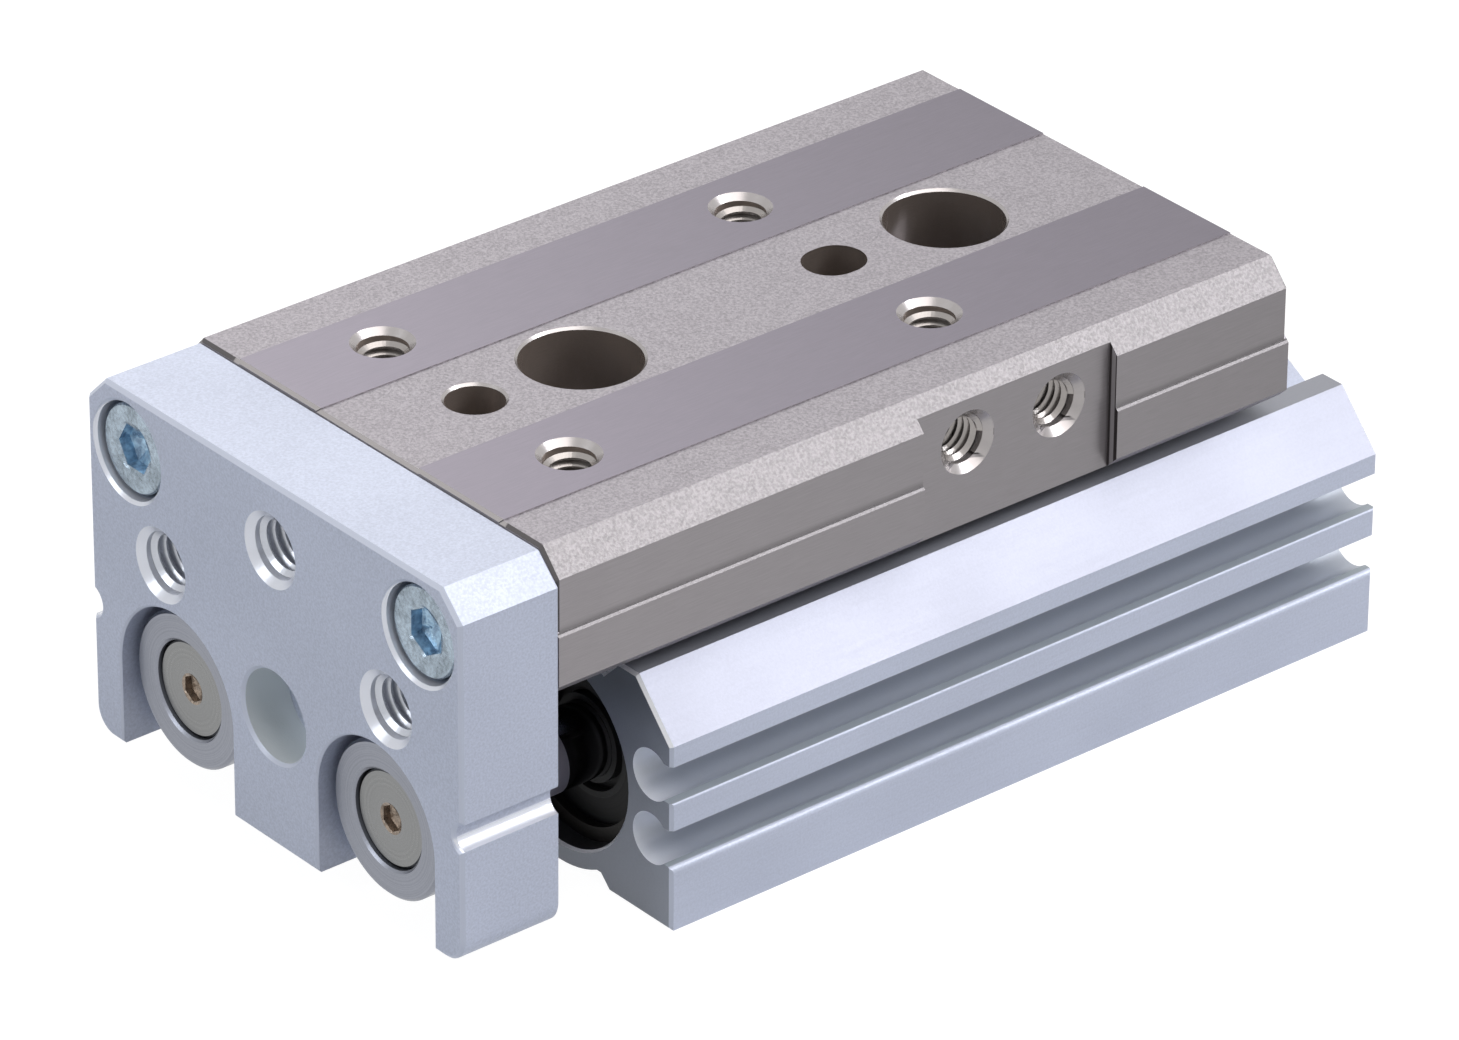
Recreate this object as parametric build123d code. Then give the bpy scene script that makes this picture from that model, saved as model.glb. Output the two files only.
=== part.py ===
from build123d import *
import math
import os

# Pneumatic slide table: a twin-bore air cylinder with a guided table on top.
# Millimetres. +X runs from the end plate towards the rear, +Z is up, and the visible sensor grooves are on
# the -Y side. The origin is the middle of the body's mounting face. The table is drawn fully retracted.

# Cylinder body, an aluminium extrusion
body_width = 50.0
side_wall_height = 15.6
slope_run = 4.0
ridge_height = 20.0
ridge_flat = 2.2
gutter_height = 18.4
pad_height = 20.4
pad_slope_angle = 29.0
foot_width = 7.2
foot_relief = 1.25
lobe_lift = 0.15
body_edge_break = 0.25
shortest_broken_edge = 1.0

# Cylinder bores
bore_spacing = 24.0
bore_axis_height = 9.55
bore_diameter = 12.0
mouth_diameter = 15.8
mouth_depth = 13.0
mouth_edge_break = 0.2
cover_setback = 2.6

# Sensor grooves in the -Y side
groove_diameter = 4.2
groove_mouth = 3.1
groove_centre_depth = 2.3
groove_pitch = 5.4
groove_low_height = 6.95
foot_lip_radius = 0.55
rib_lip_radius = 0.2

# Body mounting holes, on the centre line under the table's access holes
mount_clearance_diameter = 4.3
mount_head_diameter = 8.0
mount_head_depth = 4.4
mount_thread_diameter = 5.0
mount_thread_depth = 6.5
dowel_diameter = 4.0
dowel_depth = 3.0
dowel_slot_length = 5.0
dowel_offset = 10.0

# Air ports on the +Y side
port_thread_diameter = 5.0
port_depth = 5.0
port_passage_diameter = 2.0
front_port_inset = 2.2
port_countersink = 0.5

# Motion
stroke = 30.0
plate_gap = 8.15

# End plate
plate_thickness = 9.0
plate_top_drop = 0.4
plate_bottom = 2.2
plate_corner = 2.2
leg_corner_radius = 2.2
plate_edge_break = 0.3
plate_back_break = 0.15
notch_radius = 6.9
notch_edge_break = 0.15
disc_recess = 1.1
plate_groove_radius = 1.15
plate_groove_depth = 0.95
plate_groove_rise = 3.55
plate_screw_inset = 4.85
plate_screw_drop = 5.4
plate_screw_counterbore = 7.9
plate_screw_recess = 0.6
plate_hole_edge_break = 0.25
plate_tap_diameter = 5.0
plate_tap_depth = 7.0
plate_tap_countersink = 0.55
plate_side_tap_spacing = 27.0
plate_side_tap_rise = 10.45
plate_top_tap_drop = 5.7
plate_centre_rise = 3.65
plate_centre_counterbore = 7.4
plate_centre_depth = 4.2
plate_centre_hole = 4.3

# Slide table
table_length = 70.9
table_width = 44.4
table_upper_inset = 0.25
table_height = 33.3
table_corner_width = 1.9
table_corner_height = 2.1
table_step_rise = 5.05
skirt_lip = 3.15
skirt_thickness = 8.1
skirt_edge_break = 1.0
strip_width = 9.8
strip_lean = 0.3
strip_rise = 0.1
table_edge_break = 0.25
table_hole_pitch = 34.5
table_tap_spacing = 22.0
table_tap_diameter = 4.0
table_tap_countersink = 0.5
table_tap_inset = 10.0
locating_diameter = 4.6
locating_slot_length = 5.2
locating_countersink = 0.2
access_inset = 20.0
access_pitch = 35.5
access_diameter = 9.5
access_countersink = 0.2
pocket_centre = 44.05
pocket_length = 19.0
pocket_depth = 0.8
pocket_tap_pitch = 9.0
pocket_tap_drop = 4.95
pocket_tap_depth = 5.0
pocket_tap_countersink = 0.6
tail_ramp_length = 2.8
tail_ramp_rise = 0.25

# Ball guide
guide_setback = 0.4
guide_steel_length = 23.8
cap_length = 3.0
scraper_thickness = 0.9
guide_gap = 0.4
guide_top_gap = 0.4
guide_height = 6.9
guide_corner = 0.6
ball_diameter = 2.381
ball_clearance = 0.03
ball_track_depth = 2.7
return_inset = 3.6
return_clearance = 0.12
ball_play = 0.08

# Fasteners: shank, head diameter, head height and hexagon socket width
plate_screw_size = (4.0, 7.2, 4.0, 3.0)
guide_screw_size = (2.5, 4.5, 2.5, 2.0)
cap_screw_size = (1.6, 3.0, 1.6, 1.5)
rod_screw_size = (3.0, 7.7, 1.6, 2.0)
socket_depth_share = 0.55
head_chamfer_share = 0.1
plate_screw_bite = 9.0
guide_screw_bite = 4.2
cap_screw_bite = 3.0
cap_screw_margin = 0.2
guide_screw_wall = 0.3
rod_screw_bite = 7.0
rod_screw_recess = 0.4
screw_head_clearance = 0.1
screw_shank_clearance = 0.02

# Piston rods
rod_diameter = 6.0
rod_neck_diameter = 4.6
rod_shoulder_diameter = 9.4
rod_shoulder_thickness = 1.6
rod_spigot_diameter = 4.0
disc_diameter = 12.6
disc_thickness = 3.0
disc_float = 0.3
disc_edge_break = 0.25
disc_countersink = 0.2

# Pistons and the pieces on them
piston_length = 14.0
piston_clearance = 0.06
piston_head = 2.0
piston_edge_break = 0.3
seal_groove_width = 2.2
seal_groove_depth = 1.5
seal_lip_height = 0.35
magnet_width = 3.0
magnet_depth = 1.6
magnet_clearance = 0.15
ring_fit = 0.02

# Rod covers and the pieces in them
cover_length = 9.6
cover_clearance = 0.05
cover_rod_clearance = 0.3
bush_length = 5.0
bush_wall = 1.0
rod_clearance = 0.03
rod_seal_length = 2.6
rod_seal_wall = 1.7
rod_seal_lip = 0.5
o_ring_width = 1.5
o_ring_depth = 1.0
o_ring_inset = 2.0

# Head plugs
plug_length = 5.2
plug_setback = 1.8
plug_nose_length = 1.2
plug_nose_diameter = 7.0
plug_dimple_diameter = 4.0
plug_dimple_depth = 1.0

# Retaining rings
ring_thickness = 0.8
ring_bite = 0.35
ring_wall = 1.5
ring_ear_gap_angle = 50.0
ring_ear_share = 0.8
ring_eye_share = 0.45

# Bumpers
bumper_thickness = 1.5
bumper_wall = 1.8
bumper_clearance = 0.3
front_bumper_gap = 3.0

# How far a cutter runs past the face that it starts from
past = 1.0

# Places worked out from the sizes above; the body is as long as what its bores hold, end to end
body_length = (mouth_depth + front_bumper_gap + bumper_thickness + stroke + piston_length
               + bumper_thickness + plug_length + plug_setback)
body_front = -body_length / 2
body_rear = body_length / 2
plate_back = body_front - plate_gap
plate_front = plate_back - plate_thickness
table_front = plate_back
table_rear = table_front + table_length
bore_sides = {"left": bore_spacing / 2, "right": -bore_spacing / 2}
bore_radius = bore_diameter / 2
mouth_radius = mouth_diameter / 2
mouth_end = body_front + mouth_depth
skirt_inner = table_width / 2 - skirt_thickness
guide_half_width = skirt_inner - guide_gap
guide_top = pad_height + guide_height
table_ceiling = guide_top + guide_top_gap
table_top_thickness = table_height - table_ceiling
ball_height = guide_top - ball_track_depth
skirt_bottom = ball_height - skirt_lip
table_step_height = skirt_bottom + table_step_rise
strip_inner = (table_tap_spacing - strip_width) / 2 - strip_lean
strip_outer = strip_inner + strip_width
pocket_tap_height = table_height - pocket_tap_drop
plate_top = table_height - plate_top_drop
plate_screw_spacing = table_width - 2 * plate_screw_inset
plate_screw_height = table_height - plate_screw_drop
plate_groove_height = bore_axis_height + plate_groove_rise
plate_side_tap_height = bore_axis_height + plate_side_tap_rise
plate_centre_height = bore_axis_height + plate_centre_rise
plate_top_tap_height = plate_top - plate_top_tap_drop
guide_front = body_front + guide_setback
steel_front = guide_front + scraper_thickness + cap_length
steel_rear = steel_front + guide_steel_length
ball_track_y = (skirt_inner + guide_half_width) / 2
ball_return_y = ball_track_y - return_inset
track_radius = ball_diameter / 2 + ball_clearance
return_radius = ball_diameter / 2 + return_clearance
mount_x = (table_front + access_inset, table_front + access_inset + access_pitch)
table_hole_x = (table_front + table_tap_inset, table_front + table_tap_inset + table_hole_pitch)
cover_front = body_front + cover_setback
cover_rear = cover_front + cover_length
plug_rear = body_rear - plug_setback
plug_front = plug_rear - plug_length
rear_stop = plug_front - plug_nose_length
piston_rear = plug_front - bumper_thickness
piston_front = piston_rear - piston_length
front_port_x = mouth_end + front_port_inset
rear_port_x = plug_front - bumper_thickness / 2
disc_front = plate_front + disc_recess
disc_back = disc_front + disc_thickness
rod_screw_seat = disc_front + rod_screw_recess + rod_screw_size[2]


def rod_x(radius, x0, x1, y=0.0, z=0.0):
    """A round bar along X from x0 to x1."""
    place = Location((x0, y, z), (0, 90, 0))
    return place * Cylinder(radius, x1 - x0, align=(Align.CENTER, Align.CENTER, Align.MIN))


def rod_y(radius, y0, y1, x=0.0, z=0.0):
    """A round bar along Y from y0 to y1."""
    place = Location((x, y0, z), (-90, 0, 0))
    return place * Cylinder(radius, y1 - y0, align=(Align.CENTER, Align.CENTER, Align.MIN))


def rod_z(radius, z0, z1, x=0.0, y=0.0):
    """A round bar along Z from z0 to z1."""
    place = Location((x, y, z0))
    return place * Cylinder(radius, z1 - z0, align=(Align.CENTER, Align.CENTER, Align.MIN))


def box_between(x0, x1, y0, y1, z0, z1):
    """A box given by its low and high corners."""
    place = Location(((x0 + x1) / 2, (y0 + y1) / 2, (z0 + z1) / 2))
    return place * Box(x1 - x0, y1 - y0, z1 - z0)


def profile_along_x(sketch, x0, x1):
    """Extrudes a sketch, drawn with its x across and its y up, along the travel from x0 to x1."""
    return extrude(Plane.YZ.offset(x0) * sketch, amount=x1 - x0)


def ring_x(outer, inner, x0, x1, y=0.0, z=0.0):
    """A round ring along X."""
    return rod_x(outer, x0, x1, y, z) - rod_x(inner, x0 - past, x1 + past, y, z)


def countersink_z(radius, depth, z_top, x, y):
    """The cone that breaks the edge of a hole in a face that looks up."""
    place = Location((x, y, z_top - depth))
    return place * Cone(radius, radius + depth, depth, align=(Align.CENTER, Align.CENTER, Align.MIN))


def countersink_x(radius, depth, x_face, y, z):
    """The cone that breaks the edge of a hole in a face that looks along -X."""
    place = Location((x_face, y, z), (0, 90, 0))
    return place * Cone(radius + depth, radius, depth, align=(Align.CENTER, Align.CENTER, Align.MIN))


def countersink_y(radius, depth, y_face, x, z, side):
    """The cone that breaks the edge of a hole in a side face; side is 1 for +Y and -1 for -Y."""
    place = Location((x, y_face - side * depth, z), (-90 * side, 0, 0))
    return place * Cone(radius, radius + depth, depth, align=(Align.CENTER, Align.CENTER, Align.MIN))


def cap_screw(size, length, socket_depth=None):
    """A cap screw along +Z with its head's bearing face at z = 0 and its shank below."""
    shank, head, head_height, socket = size
    depth = head_height * socket_depth_share if socket_depth is None else socket_depth
    body = rod_z(head / 2, 0, head_height)
    body = chamfer(body.edges().sort_by(Axis.Z)[-1], head_height * head_chamfer_share)
    body += rod_z(shank / 2, -length, 0)
    key = extrude(RegularPolygon(socket / math.sqrt(3), 6), amount=depth)
    return body - Location((0, 0, head_height - depth)) * key


def body_profile():
    """The extrusion's section: feet, bore lobes, grooved side wall, slopes, ridges, gutters and pad."""
    half = body_width / 2
    ridge_outer = half - slope_run
    ridge_inner = ridge_outer - ridge_flat
    gutter = ridge_inner - (ridge_height - gutter_height)
    pad_edge = gutter - (pad_height - gutter_height) / math.tan(math.radians(pad_slope_angle))
    foot_inner = half - foot_width
    heel = bore_spacing - foot_inner
    outline = [(heel, 0), (heel + foot_relief, foot_relief), (foot_inner - foot_relief, foot_relief),
               (foot_inner, 0), (half, 0), (half, side_wall_height), (ridge_outer, ridge_height),
               (ridge_inner, ridge_height), (gutter, gutter_height), (pad_edge, pad_height)]
    mirrored = [(-y, z) for y, z in reversed(outline)]
    section = make_face(Polyline(*outline, *mirrored, close=True))
    for y in bore_sides.values():
        section += Pos(y, bore_axis_height) * Circle(bore_axis_height - lobe_lift)
    for row in range(2):
        z = groove_low_height + row * groove_pitch
        y = -half + groove_centre_depth
        section -= Pos(y, z) * Circle(groove_diameter / 2)
        section -= Pos(-half, z) * Rectangle(groove_centre_depth * 2, groove_mouth)
    return section


def make_body():
    """The cylinder body with its bores, ports and mounting holes."""
    body = profile_along_x(body_profile(), body_front, body_rear)
    for end in (0, -1):
        sawn_edges = body.faces().sort_by(Axis.X)[end].outer_wire().edges().filter_by(GeomType.LINE)
        body = chamfer(sawn_edges.filter_by(lambda edge: edge.length > shortest_broken_edge), body_edge_break)
    for row, lip_radius in enumerate((foot_lip_radius, rib_lip_radius)):
        lip = (0, -body_width / 2, groove_low_height + row * groove_pitch - groove_mouth / 2)
        body = fillet(body.edges().filter_by(Axis.X).sort_by_distance(lip)[0], lip_radius)
    for y in bore_sides.values():
        body -= rod_x(bore_radius, body_front - past, body_rear + past, y, bore_axis_height)
        body -= rod_x(mouth_radius, body_front - past, mouth_end, y, bore_axis_height)
        body -= countersink_x(mouth_radius, mouth_edge_break, body_front, y, bore_axis_height)
        body -= rod_x(mouth_radius + ring_bite, cover_front - ring_thickness, cover_front, y,
                      bore_axis_height)
        body -= rod_x(bore_radius + ring_bite, plug_rear, plug_rear + ring_thickness, y, bore_axis_height)
    for x in (front_port_x, rear_port_x):
        port_face = body_width / 2
        body -= rod_y(port_thread_diameter / 2, port_face - port_depth, port_face + past, x, bore_axis_height)
        body -= countersink_y(port_thread_diameter / 2, port_countersink, port_face, x, bore_axis_height, 1)
        far_bore = bore_sides["right"]
        body -= rod_y(port_passage_diameter / 2, far_bore, port_face - port_depth, x, bore_axis_height)
    for x in mount_x:
        body -= rod_z(mount_clearance_diameter / 2, -past, pad_height + past, x)
        body -= rod_z(mount_head_diameter / 2, pad_height - mount_head_depth, pad_height + past, x)
        body -= rod_z(mount_thread_diameter / 2, -past, mount_thread_depth, x)
    hole_x, slot_x = (x + dowel_offset for x in mount_x)
    body -= rod_z(dowel_diameter / 2, -past, dowel_depth, hole_x)
    slot = SlotOverall(dowel_slot_length, dowel_diameter)
    body -= Location((slot_x, 0, 0)) * extrude(slot, amount=dowel_depth)
    for x, y in guide_screw_places():
        bottom = pad_height - guide_screw_bite - screw_head_clearance
        body -= rod_z(guide_screw_size[0] / 2 + screw_shank_clearance, bottom, pad_height + past, x, y)
    return body


def guide_screw_places():
    """The four screws of the guide block, clear of the front mounting hole."""
    head_radius = guide_screw_size[1] / 2 + screw_head_clearance
    y = ball_return_y - return_radius - head_radius - guide_screw_wall
    front_x = steel_front + head_radius + guide_screw_wall
    rear_x = steel_rear - head_radius - guide_screw_wall
    return [(x, side * y) for x in (front_x, rear_x) for side in (-1, 1)]


def cap_screw_places():
    """The two screws of one return cap, side by side under the heads of the guide block's screws."""
    head_radius = cap_screw_size[1] / 2 + screw_head_clearance
    z = pad_height + head_radius + cap_screw_margin
    return [(side * (head_radius + cap_screw_margin), z) for side in (-1, 1)]


def guide_profile(shrink=0.0):
    """The guide block's section: a bar with an arched ball track in each side."""
    height = guide_top - pad_height
    section = Pos(0, pad_height + height / 2) * Rectangle(2 * (guide_half_width - shrink), height)
    section = chamfer(section.vertices().group_by(Axis.Y)[-1], guide_corner)
    for side in (-1, 1):
        section -= Pos(side * ball_track_y, ball_height) * Circle(track_radius)
    return section


def make_guide_block():
    """The hardened block that carries the inner tracks."""
    block = profile_along_x(guide_profile(), steel_front, steel_rear)
    block -= rod_z(mount_head_diameter / 2, pad_height - past, guide_top + past, mount_x[0])
    shank, head, head_height, _ = guide_screw_size
    for x, y in guide_screw_places():
        block -= rod_z(shank / 2 + screw_head_clearance, pad_height - past, guide_top + past, x, y)
        seat = guide_top - head_height - screw_head_clearance
        block -= rod_z(head / 2 + screw_head_clearance, seat, guide_top + past, x, y)
    for side in (-1, 1):
        block -= rod_x(return_radius, steel_front - past, steel_rear + past, side * ball_return_y,
                       ball_height)
    for y, z in cap_screw_places():
        hole = cap_screw_size[0] / 2 + screw_shank_clearance
        block -= rod_x(hole, steel_front - past, steel_front + cap_screw_bite, y, z)
        block -= rod_x(hole, steel_rear - cap_screw_bite, steel_rear + past, y, z)
    return block


def make_return_cap(x_steel, direction):
    """A plastic cap that turns the balls from the track into the return bore."""
    x_out = x_steel + direction * cap_length
    cap = profile_along_x(guide_profile(guide_gap / 2), min(x_steel, x_out), max(x_steel, x_out))
    for side in (-1, 1):
        turn = Location((x_steel, side * (ball_track_y + ball_return_y) / 2, ball_height))
        cap -= turn * Torus(return_inset / 2, return_radius)
    shank, head, head_height, _ = cap_screw_size
    for y, z in cap_screw_places():
        cap -= rod_x(shank / 2 + screw_shank_clearance, x_steel - cap_length, x_steel + cap_length, y, z)
        seat = x_out - direction * head_height
        cap -= rod_x(head / 2 + screw_head_clearance, min(seat, x_out), max(seat, x_out), y, z)
    return cap


def make_scraper(x_cap, direction):
    """A thin rubber wiper that stands against its cap and leaves the cap's screws free."""
    x_out = x_cap + direction * scraper_thickness
    wiper = profile_along_x(guide_profile(guide_gap / 2), min(x_cap, x_out), max(x_cap, x_out))
    for y, z in cap_screw_places():
        hole = cap_screw_size[1] / 2 + screw_head_clearance
        wiper -= rod_x(hole, x_cap - scraper_thickness, x_cap + scraper_thickness, y, z)
    return wiper


def make_cap_screws():
    """The four screws of the return caps, as separate solids."""
    screws = []
    head_height = cap_screw_size[2]
    seat = cap_length - head_height
    reach = seat + cap_screw_bite - screw_head_clearance
    for y, z in cap_screw_places():
        for x, turn in ((steel_front - seat, -90), (steel_rear + seat, 90)):
            screws.append(Location((x, y, z), (0, turn, 0)) * cap_screw(cap_screw_size, reach))
    return Compound(children=screws)


def ball_loop_point(distance, straight):
    """A point on one ball loop: along the track, round a cap, back in the bore and round the other cap."""
    bend = math.pi * return_inset / 2
    middle_y = (ball_track_y + ball_return_y) / 2
    if distance < straight:
        return steel_front + distance, ball_track_y
    distance -= straight
    if distance < bend:
        angle = distance / (return_inset / 2)
        return steel_rear + math.sin(angle) * return_inset / 2, middle_y + math.cos(angle) * return_inset / 2
    distance -= bend
    if distance < straight:
        return steel_rear - distance, ball_return_y
    angle = (distance - straight) / (return_inset / 2)
    return steel_front - math.sin(angle) * return_inset / 2, middle_y - math.cos(angle) * return_inset / 2


def make_balls():
    """The balls of both loops, as separate solids."""
    straight = guide_steel_length
    loop = 2 * straight + math.pi * return_inset
    count = int(loop / (ball_diameter + ball_play))
    balls = []
    for side in (-1, 1):
        for index in range(count):
            x, y = ball_loop_point((index + 0.5) * loop / count, straight)
            balls.append(Location((x, side * y, ball_height)) * Sphere(ball_diameter / 2))
    return Compound(children=balls)


def make_guide_block_screws():
    """The four cap screws that hold the guide block down."""
    screws = []
    head_height = guide_screw_size[2]
    seat = guide_top - head_height - screw_head_clearance
    for x, y in guide_screw_places():
        reach = seat - pad_height + guide_screw_bite
        screws.append(Location((x, y, seat)) * cap_screw(guide_screw_size, reach))
    return Compound(children=screws)


def table_profile():
    """The table's section: a channel with stepped sides, broken corners and two raised ground strips."""
    half = table_width / 2
    upper = half - table_upper_inset
    top = table_height - strip_rise
    outline = [(skirt_inner, table_ceiling), (skirt_inner, skirt_bottom),
               (half - skirt_edge_break, skirt_bottom), (half, skirt_bottom + skirt_edge_break),
               (half, table_step_height), (upper, table_step_height + table_upper_inset),
               (upper, top - table_corner_height), (upper - table_corner_width, top),
               (strip_outer, top), (strip_outer, table_height), (strip_inner, table_height),
               (strip_inner, top)]
    mirrored = [(-y, z) for y, z in reversed(outline)]
    section = make_face(Polyline(*outline, *mirrored, close=True))
    for side in (-1, 1):
        section -= Pos(side * ball_track_y, ball_height) * Circle(track_radius)
    return section


def make_table():
    """The slide table with its holes, its side pocket and its ball tracks."""
    table = profile_along_x(table_profile(), table_front, table_rear)
    end_faces = table.faces().sort_by(Axis.X)
    end_edges = end_faces[0].edges() + end_faces[-1].edges()
    table = chamfer(end_edges.filter_by(lambda edge: edge.center().Z > table_ceiling), table_edge_break)
    strip_y = table_tap_spacing / 2
    for x in table_hole_x:
        for y in (-strip_y, strip_y):
            table -= rod_z(table_tap_diameter / 2, table_ceiling - past, table_height + past, x, y)
            table -= countersink_z(table_tap_diameter / 2, table_tap_countersink, table_height, x, y)
    top = table_height - strip_rise
    hole_x, slot_x = table_hole_x
    table -= rod_z(locating_diameter / 2, table_ceiling - past, table_height + past, hole_x)
    table -= countersink_z(locating_diameter / 2, locating_countersink, top, hole_x, 0)
    slot = SlotOverall(locating_slot_length, locating_diameter)
    slot_tool = extrude(slot, amount=table_top_thickness + 2 * past)
    table -= Location((slot_x, 0, table_ceiling - past)) * slot_tool
    for x in mount_x:
        table -= rod_z(access_diameter / 2, table_ceiling - past, table_height + past, x)
        table -= countersink_z(access_diameter / 2, access_countersink, top, x, 0)
    pocket_x = table_front + pocket_centre
    pocket_face = -table_width / 2 + table_upper_inset + pocket_depth
    table -= box_between(pocket_x - pocket_length / 2, pocket_x + pocket_length / 2,
                         -table_width, pocket_face, skirt_bottom - past, table_height + past)
    for side in (-1, 1):
        x = pocket_x + side * pocket_tap_pitch / 2
        radius = table_tap_diameter / 2
        table -= rod_y(radius, pocket_face - past, pocket_face + pocket_tap_depth, x, pocket_tap_height)
        table -= countersink_y(radius, pocket_tap_countersink, pocket_face, x, pocket_tap_height, -1)
        y = side * plate_screw_spacing / 2
        bite = plate_screw_bite + screw_head_clearance
        radius = plate_screw_size[0] / 2 + screw_shank_clearance
        table -= rod_x(radius, table_front - past, table_front + bite, y, plate_screw_height)
    ramp_start = table_rear - tail_ramp_length
    ramp = Polyline((ramp_start, skirt_bottom), (table_rear, skirt_bottom + tail_ramp_rise),
                    (table_rear + past, skirt_bottom + tail_ramp_rise), (table_rear + past, skirt_bottom - past),
                    (ramp_start, skirt_bottom - past), close=True)
    return table - extrude(Plane.XZ * make_face(ramp), amount=table_width, both=True)


def plate_profile():
    """The end plate's outline: broken top corners, two open notches, a tongue and rounded legs."""
    half = table_width / 2
    middle = (plate_top + plate_bottom) / 2
    outline = Pos(0, middle) * Rectangle(table_width, plate_top - plate_bottom)
    outline = chamfer(outline.vertices().group_by(Axis.Y)[-1], plate_corner)
    outline = fillet(outline.vertices().group_by(Axis.Y)[0], leg_corner_radius)
    for side in (-1, 1):
        groove_y = side * (half + plate_groove_radius - plate_groove_depth)
        outline -= Pos(groove_y, plate_groove_height) * Circle(plate_groove_radius)
    return outline


def notch_profile(radius):
    """A slot from the plate's bottom edge up round both rod axes."""
    slots = Sketch()
    reach = bore_axis_height - plate_bottom + past
    for y in bore_sides.values():
        slots += Pos(y, bore_axis_height) * Circle(radius)
        slots += Pos(y, bore_axis_height - reach / 2) * Rectangle(2 * radius, reach)
    return slots


def make_plate():
    """The end plate, which drops over the necks of both rods from above."""
    plate = profile_along_x(plate_profile(), plate_front, plate_back)
    plate = chamfer(plate.faces().sort_by(Axis.X)[0].outer_wire().edges(), plate_edge_break)
    plate = chamfer(plate.faces().sort_by(Axis.X)[-1].outer_wire().edges(), plate_back_break)
    plate -= profile_along_x(notch_profile(notch_radius), plate_front - past, disc_back)
    front_edges = plate.faces().sort_by(Axis.X)[0].outer_wire().edges()
    reach = notch_radius + notch_edge_break
    low_edges = front_edges.filter_by(lambda edge: edge.center().Z < bore_axis_height + reach)
    notch_edges = low_edges.filter_by(lambda edge: abs(abs(edge.center().Y) - bore_spacing / 2) < reach)
    plate = chamfer(notch_edges, notch_edge_break)
    neck_slot = rod_neck_diameter / 2 + disc_float
    plate -= profile_along_x(notch_profile(neck_slot), plate_front - past, plate_back + past)
    shank, head, head_height, _ = plate_screw_size
    seat = plate_front + plate_screw_recess + head_height
    tap_radius = plate_tap_diameter / 2
    for side in (-1, 1):
        y = side * plate_screw_spacing / 2
        hole = shank / 2 + 2 * screw_head_clearance
        plate -= rod_x(hole, plate_front - past, plate_back + past, y, plate_screw_height)
        counterbore = plate_screw_counterbore / 2
        plate -= rod_x(counterbore, plate_front - past, seat, y, plate_screw_height)
        plate -= countersink_x(counterbore, plate_hole_edge_break, plate_front, y, plate_screw_height)
    taps = [(side * plate_side_tap_spacing / 2, plate_side_tap_height) for side in (-1, 1)]
    taps.append((0, plate_top_tap_height))
    for y, z in taps:
        plate -= rod_x(tap_radius, plate_front - past, plate_front + plate_tap_depth, y, z)
        plate -= countersink_x(tap_radius, plate_tap_countersink, plate_front, y, z)
    counterbore = plate_centre_counterbore / 2
    plate -= rod_x(counterbore, plate_front - past, plate_front + plate_centre_depth, 0, plate_centre_height)
    plate -= countersink_x(counterbore, plate_hole_edge_break, plate_front, 0, plate_centre_height)
    plate -= rod_x(plate_centre_hole / 2, plate_front - past, plate_back + past, 0, plate_centre_height)
    return plate


def make_plate_screws():
    """The two cap screws that hold the plate to the table."""
    head_height = plate_screw_size[2]
    seat = plate_front + plate_screw_recess + head_height
    reach = plate_back - seat + plate_screw_bite
    screws = []
    for side in (-1, 1):
        place = Location((seat, side * plate_screw_spacing / 2, plate_screw_height), (0, -90, 0))
        screws.append(place * cap_screw(plate_screw_size, reach))
    return Compound(children=screws)


def make_rod(y):
    """One piston rod: neck, shoulder behind the plate, ground rod and the piston's spigot."""
    z = bore_axis_height
    rod = rod_x(rod_neck_diameter / 2, disc_back, plate_back, y, z)
    rod += rod_x(rod_shoulder_diameter / 2, plate_back, plate_back + rod_shoulder_thickness, y, z)
    rod += rod_x(rod_diameter / 2, plate_back, piston_front, y, z)
    rod += rod_x(rod_spigot_diameter / 2, piston_front, piston_rear, y, z)
    screw_radius = rod_screw_size[0] / 2 + screw_shank_clearance
    tap_end = rod_screw_seat + rod_screw_bite
    return rod - rod_x(screw_radius, disc_back - past, tap_end, y, z)


def make_disc(y):
    """The turned washer that traps the plate's web against the rod's shoulder."""
    z = bore_axis_height
    disc = rod_x(disc_diameter / 2, disc_front, disc_back, y, z)
    disc = chamfer(disc.faces().sort_by(Axis.X)[0].edges(), disc_edge_break)
    pocket = rod_screw_size[1] / 2 + screw_head_clearance
    disc -= rod_x(pocket, disc_front - past, rod_screw_seat, y, z)
    disc -= countersink_x(pocket, disc_countersink, disc_front, y, z)
    hole = rod_screw_size[0] / 2 + screw_head_clearance
    return disc - rod_x(hole, disc_front - past, disc_back + past, y, z)


def make_rod_screws():
    """The flat screws in the discs."""
    screws = []
    for y in bore_sides.values():
        place = Location((rod_screw_seat, y, bore_axis_height), (0, -90, 0))
        screws.append(place * cap_screw(rod_screw_size, rod_screw_bite - screw_head_clearance))
    return Compound(children=screws)


def piston_bands():
    """The stretches of the piston that its seal and its magnet fill."""
    seal_start = piston_front + piston_head
    magnet_start = piston_rear - piston_head - magnet_width
    return (seal_start, seal_start + seal_groove_width), (magnet_start, magnet_start + magnet_width)


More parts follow.
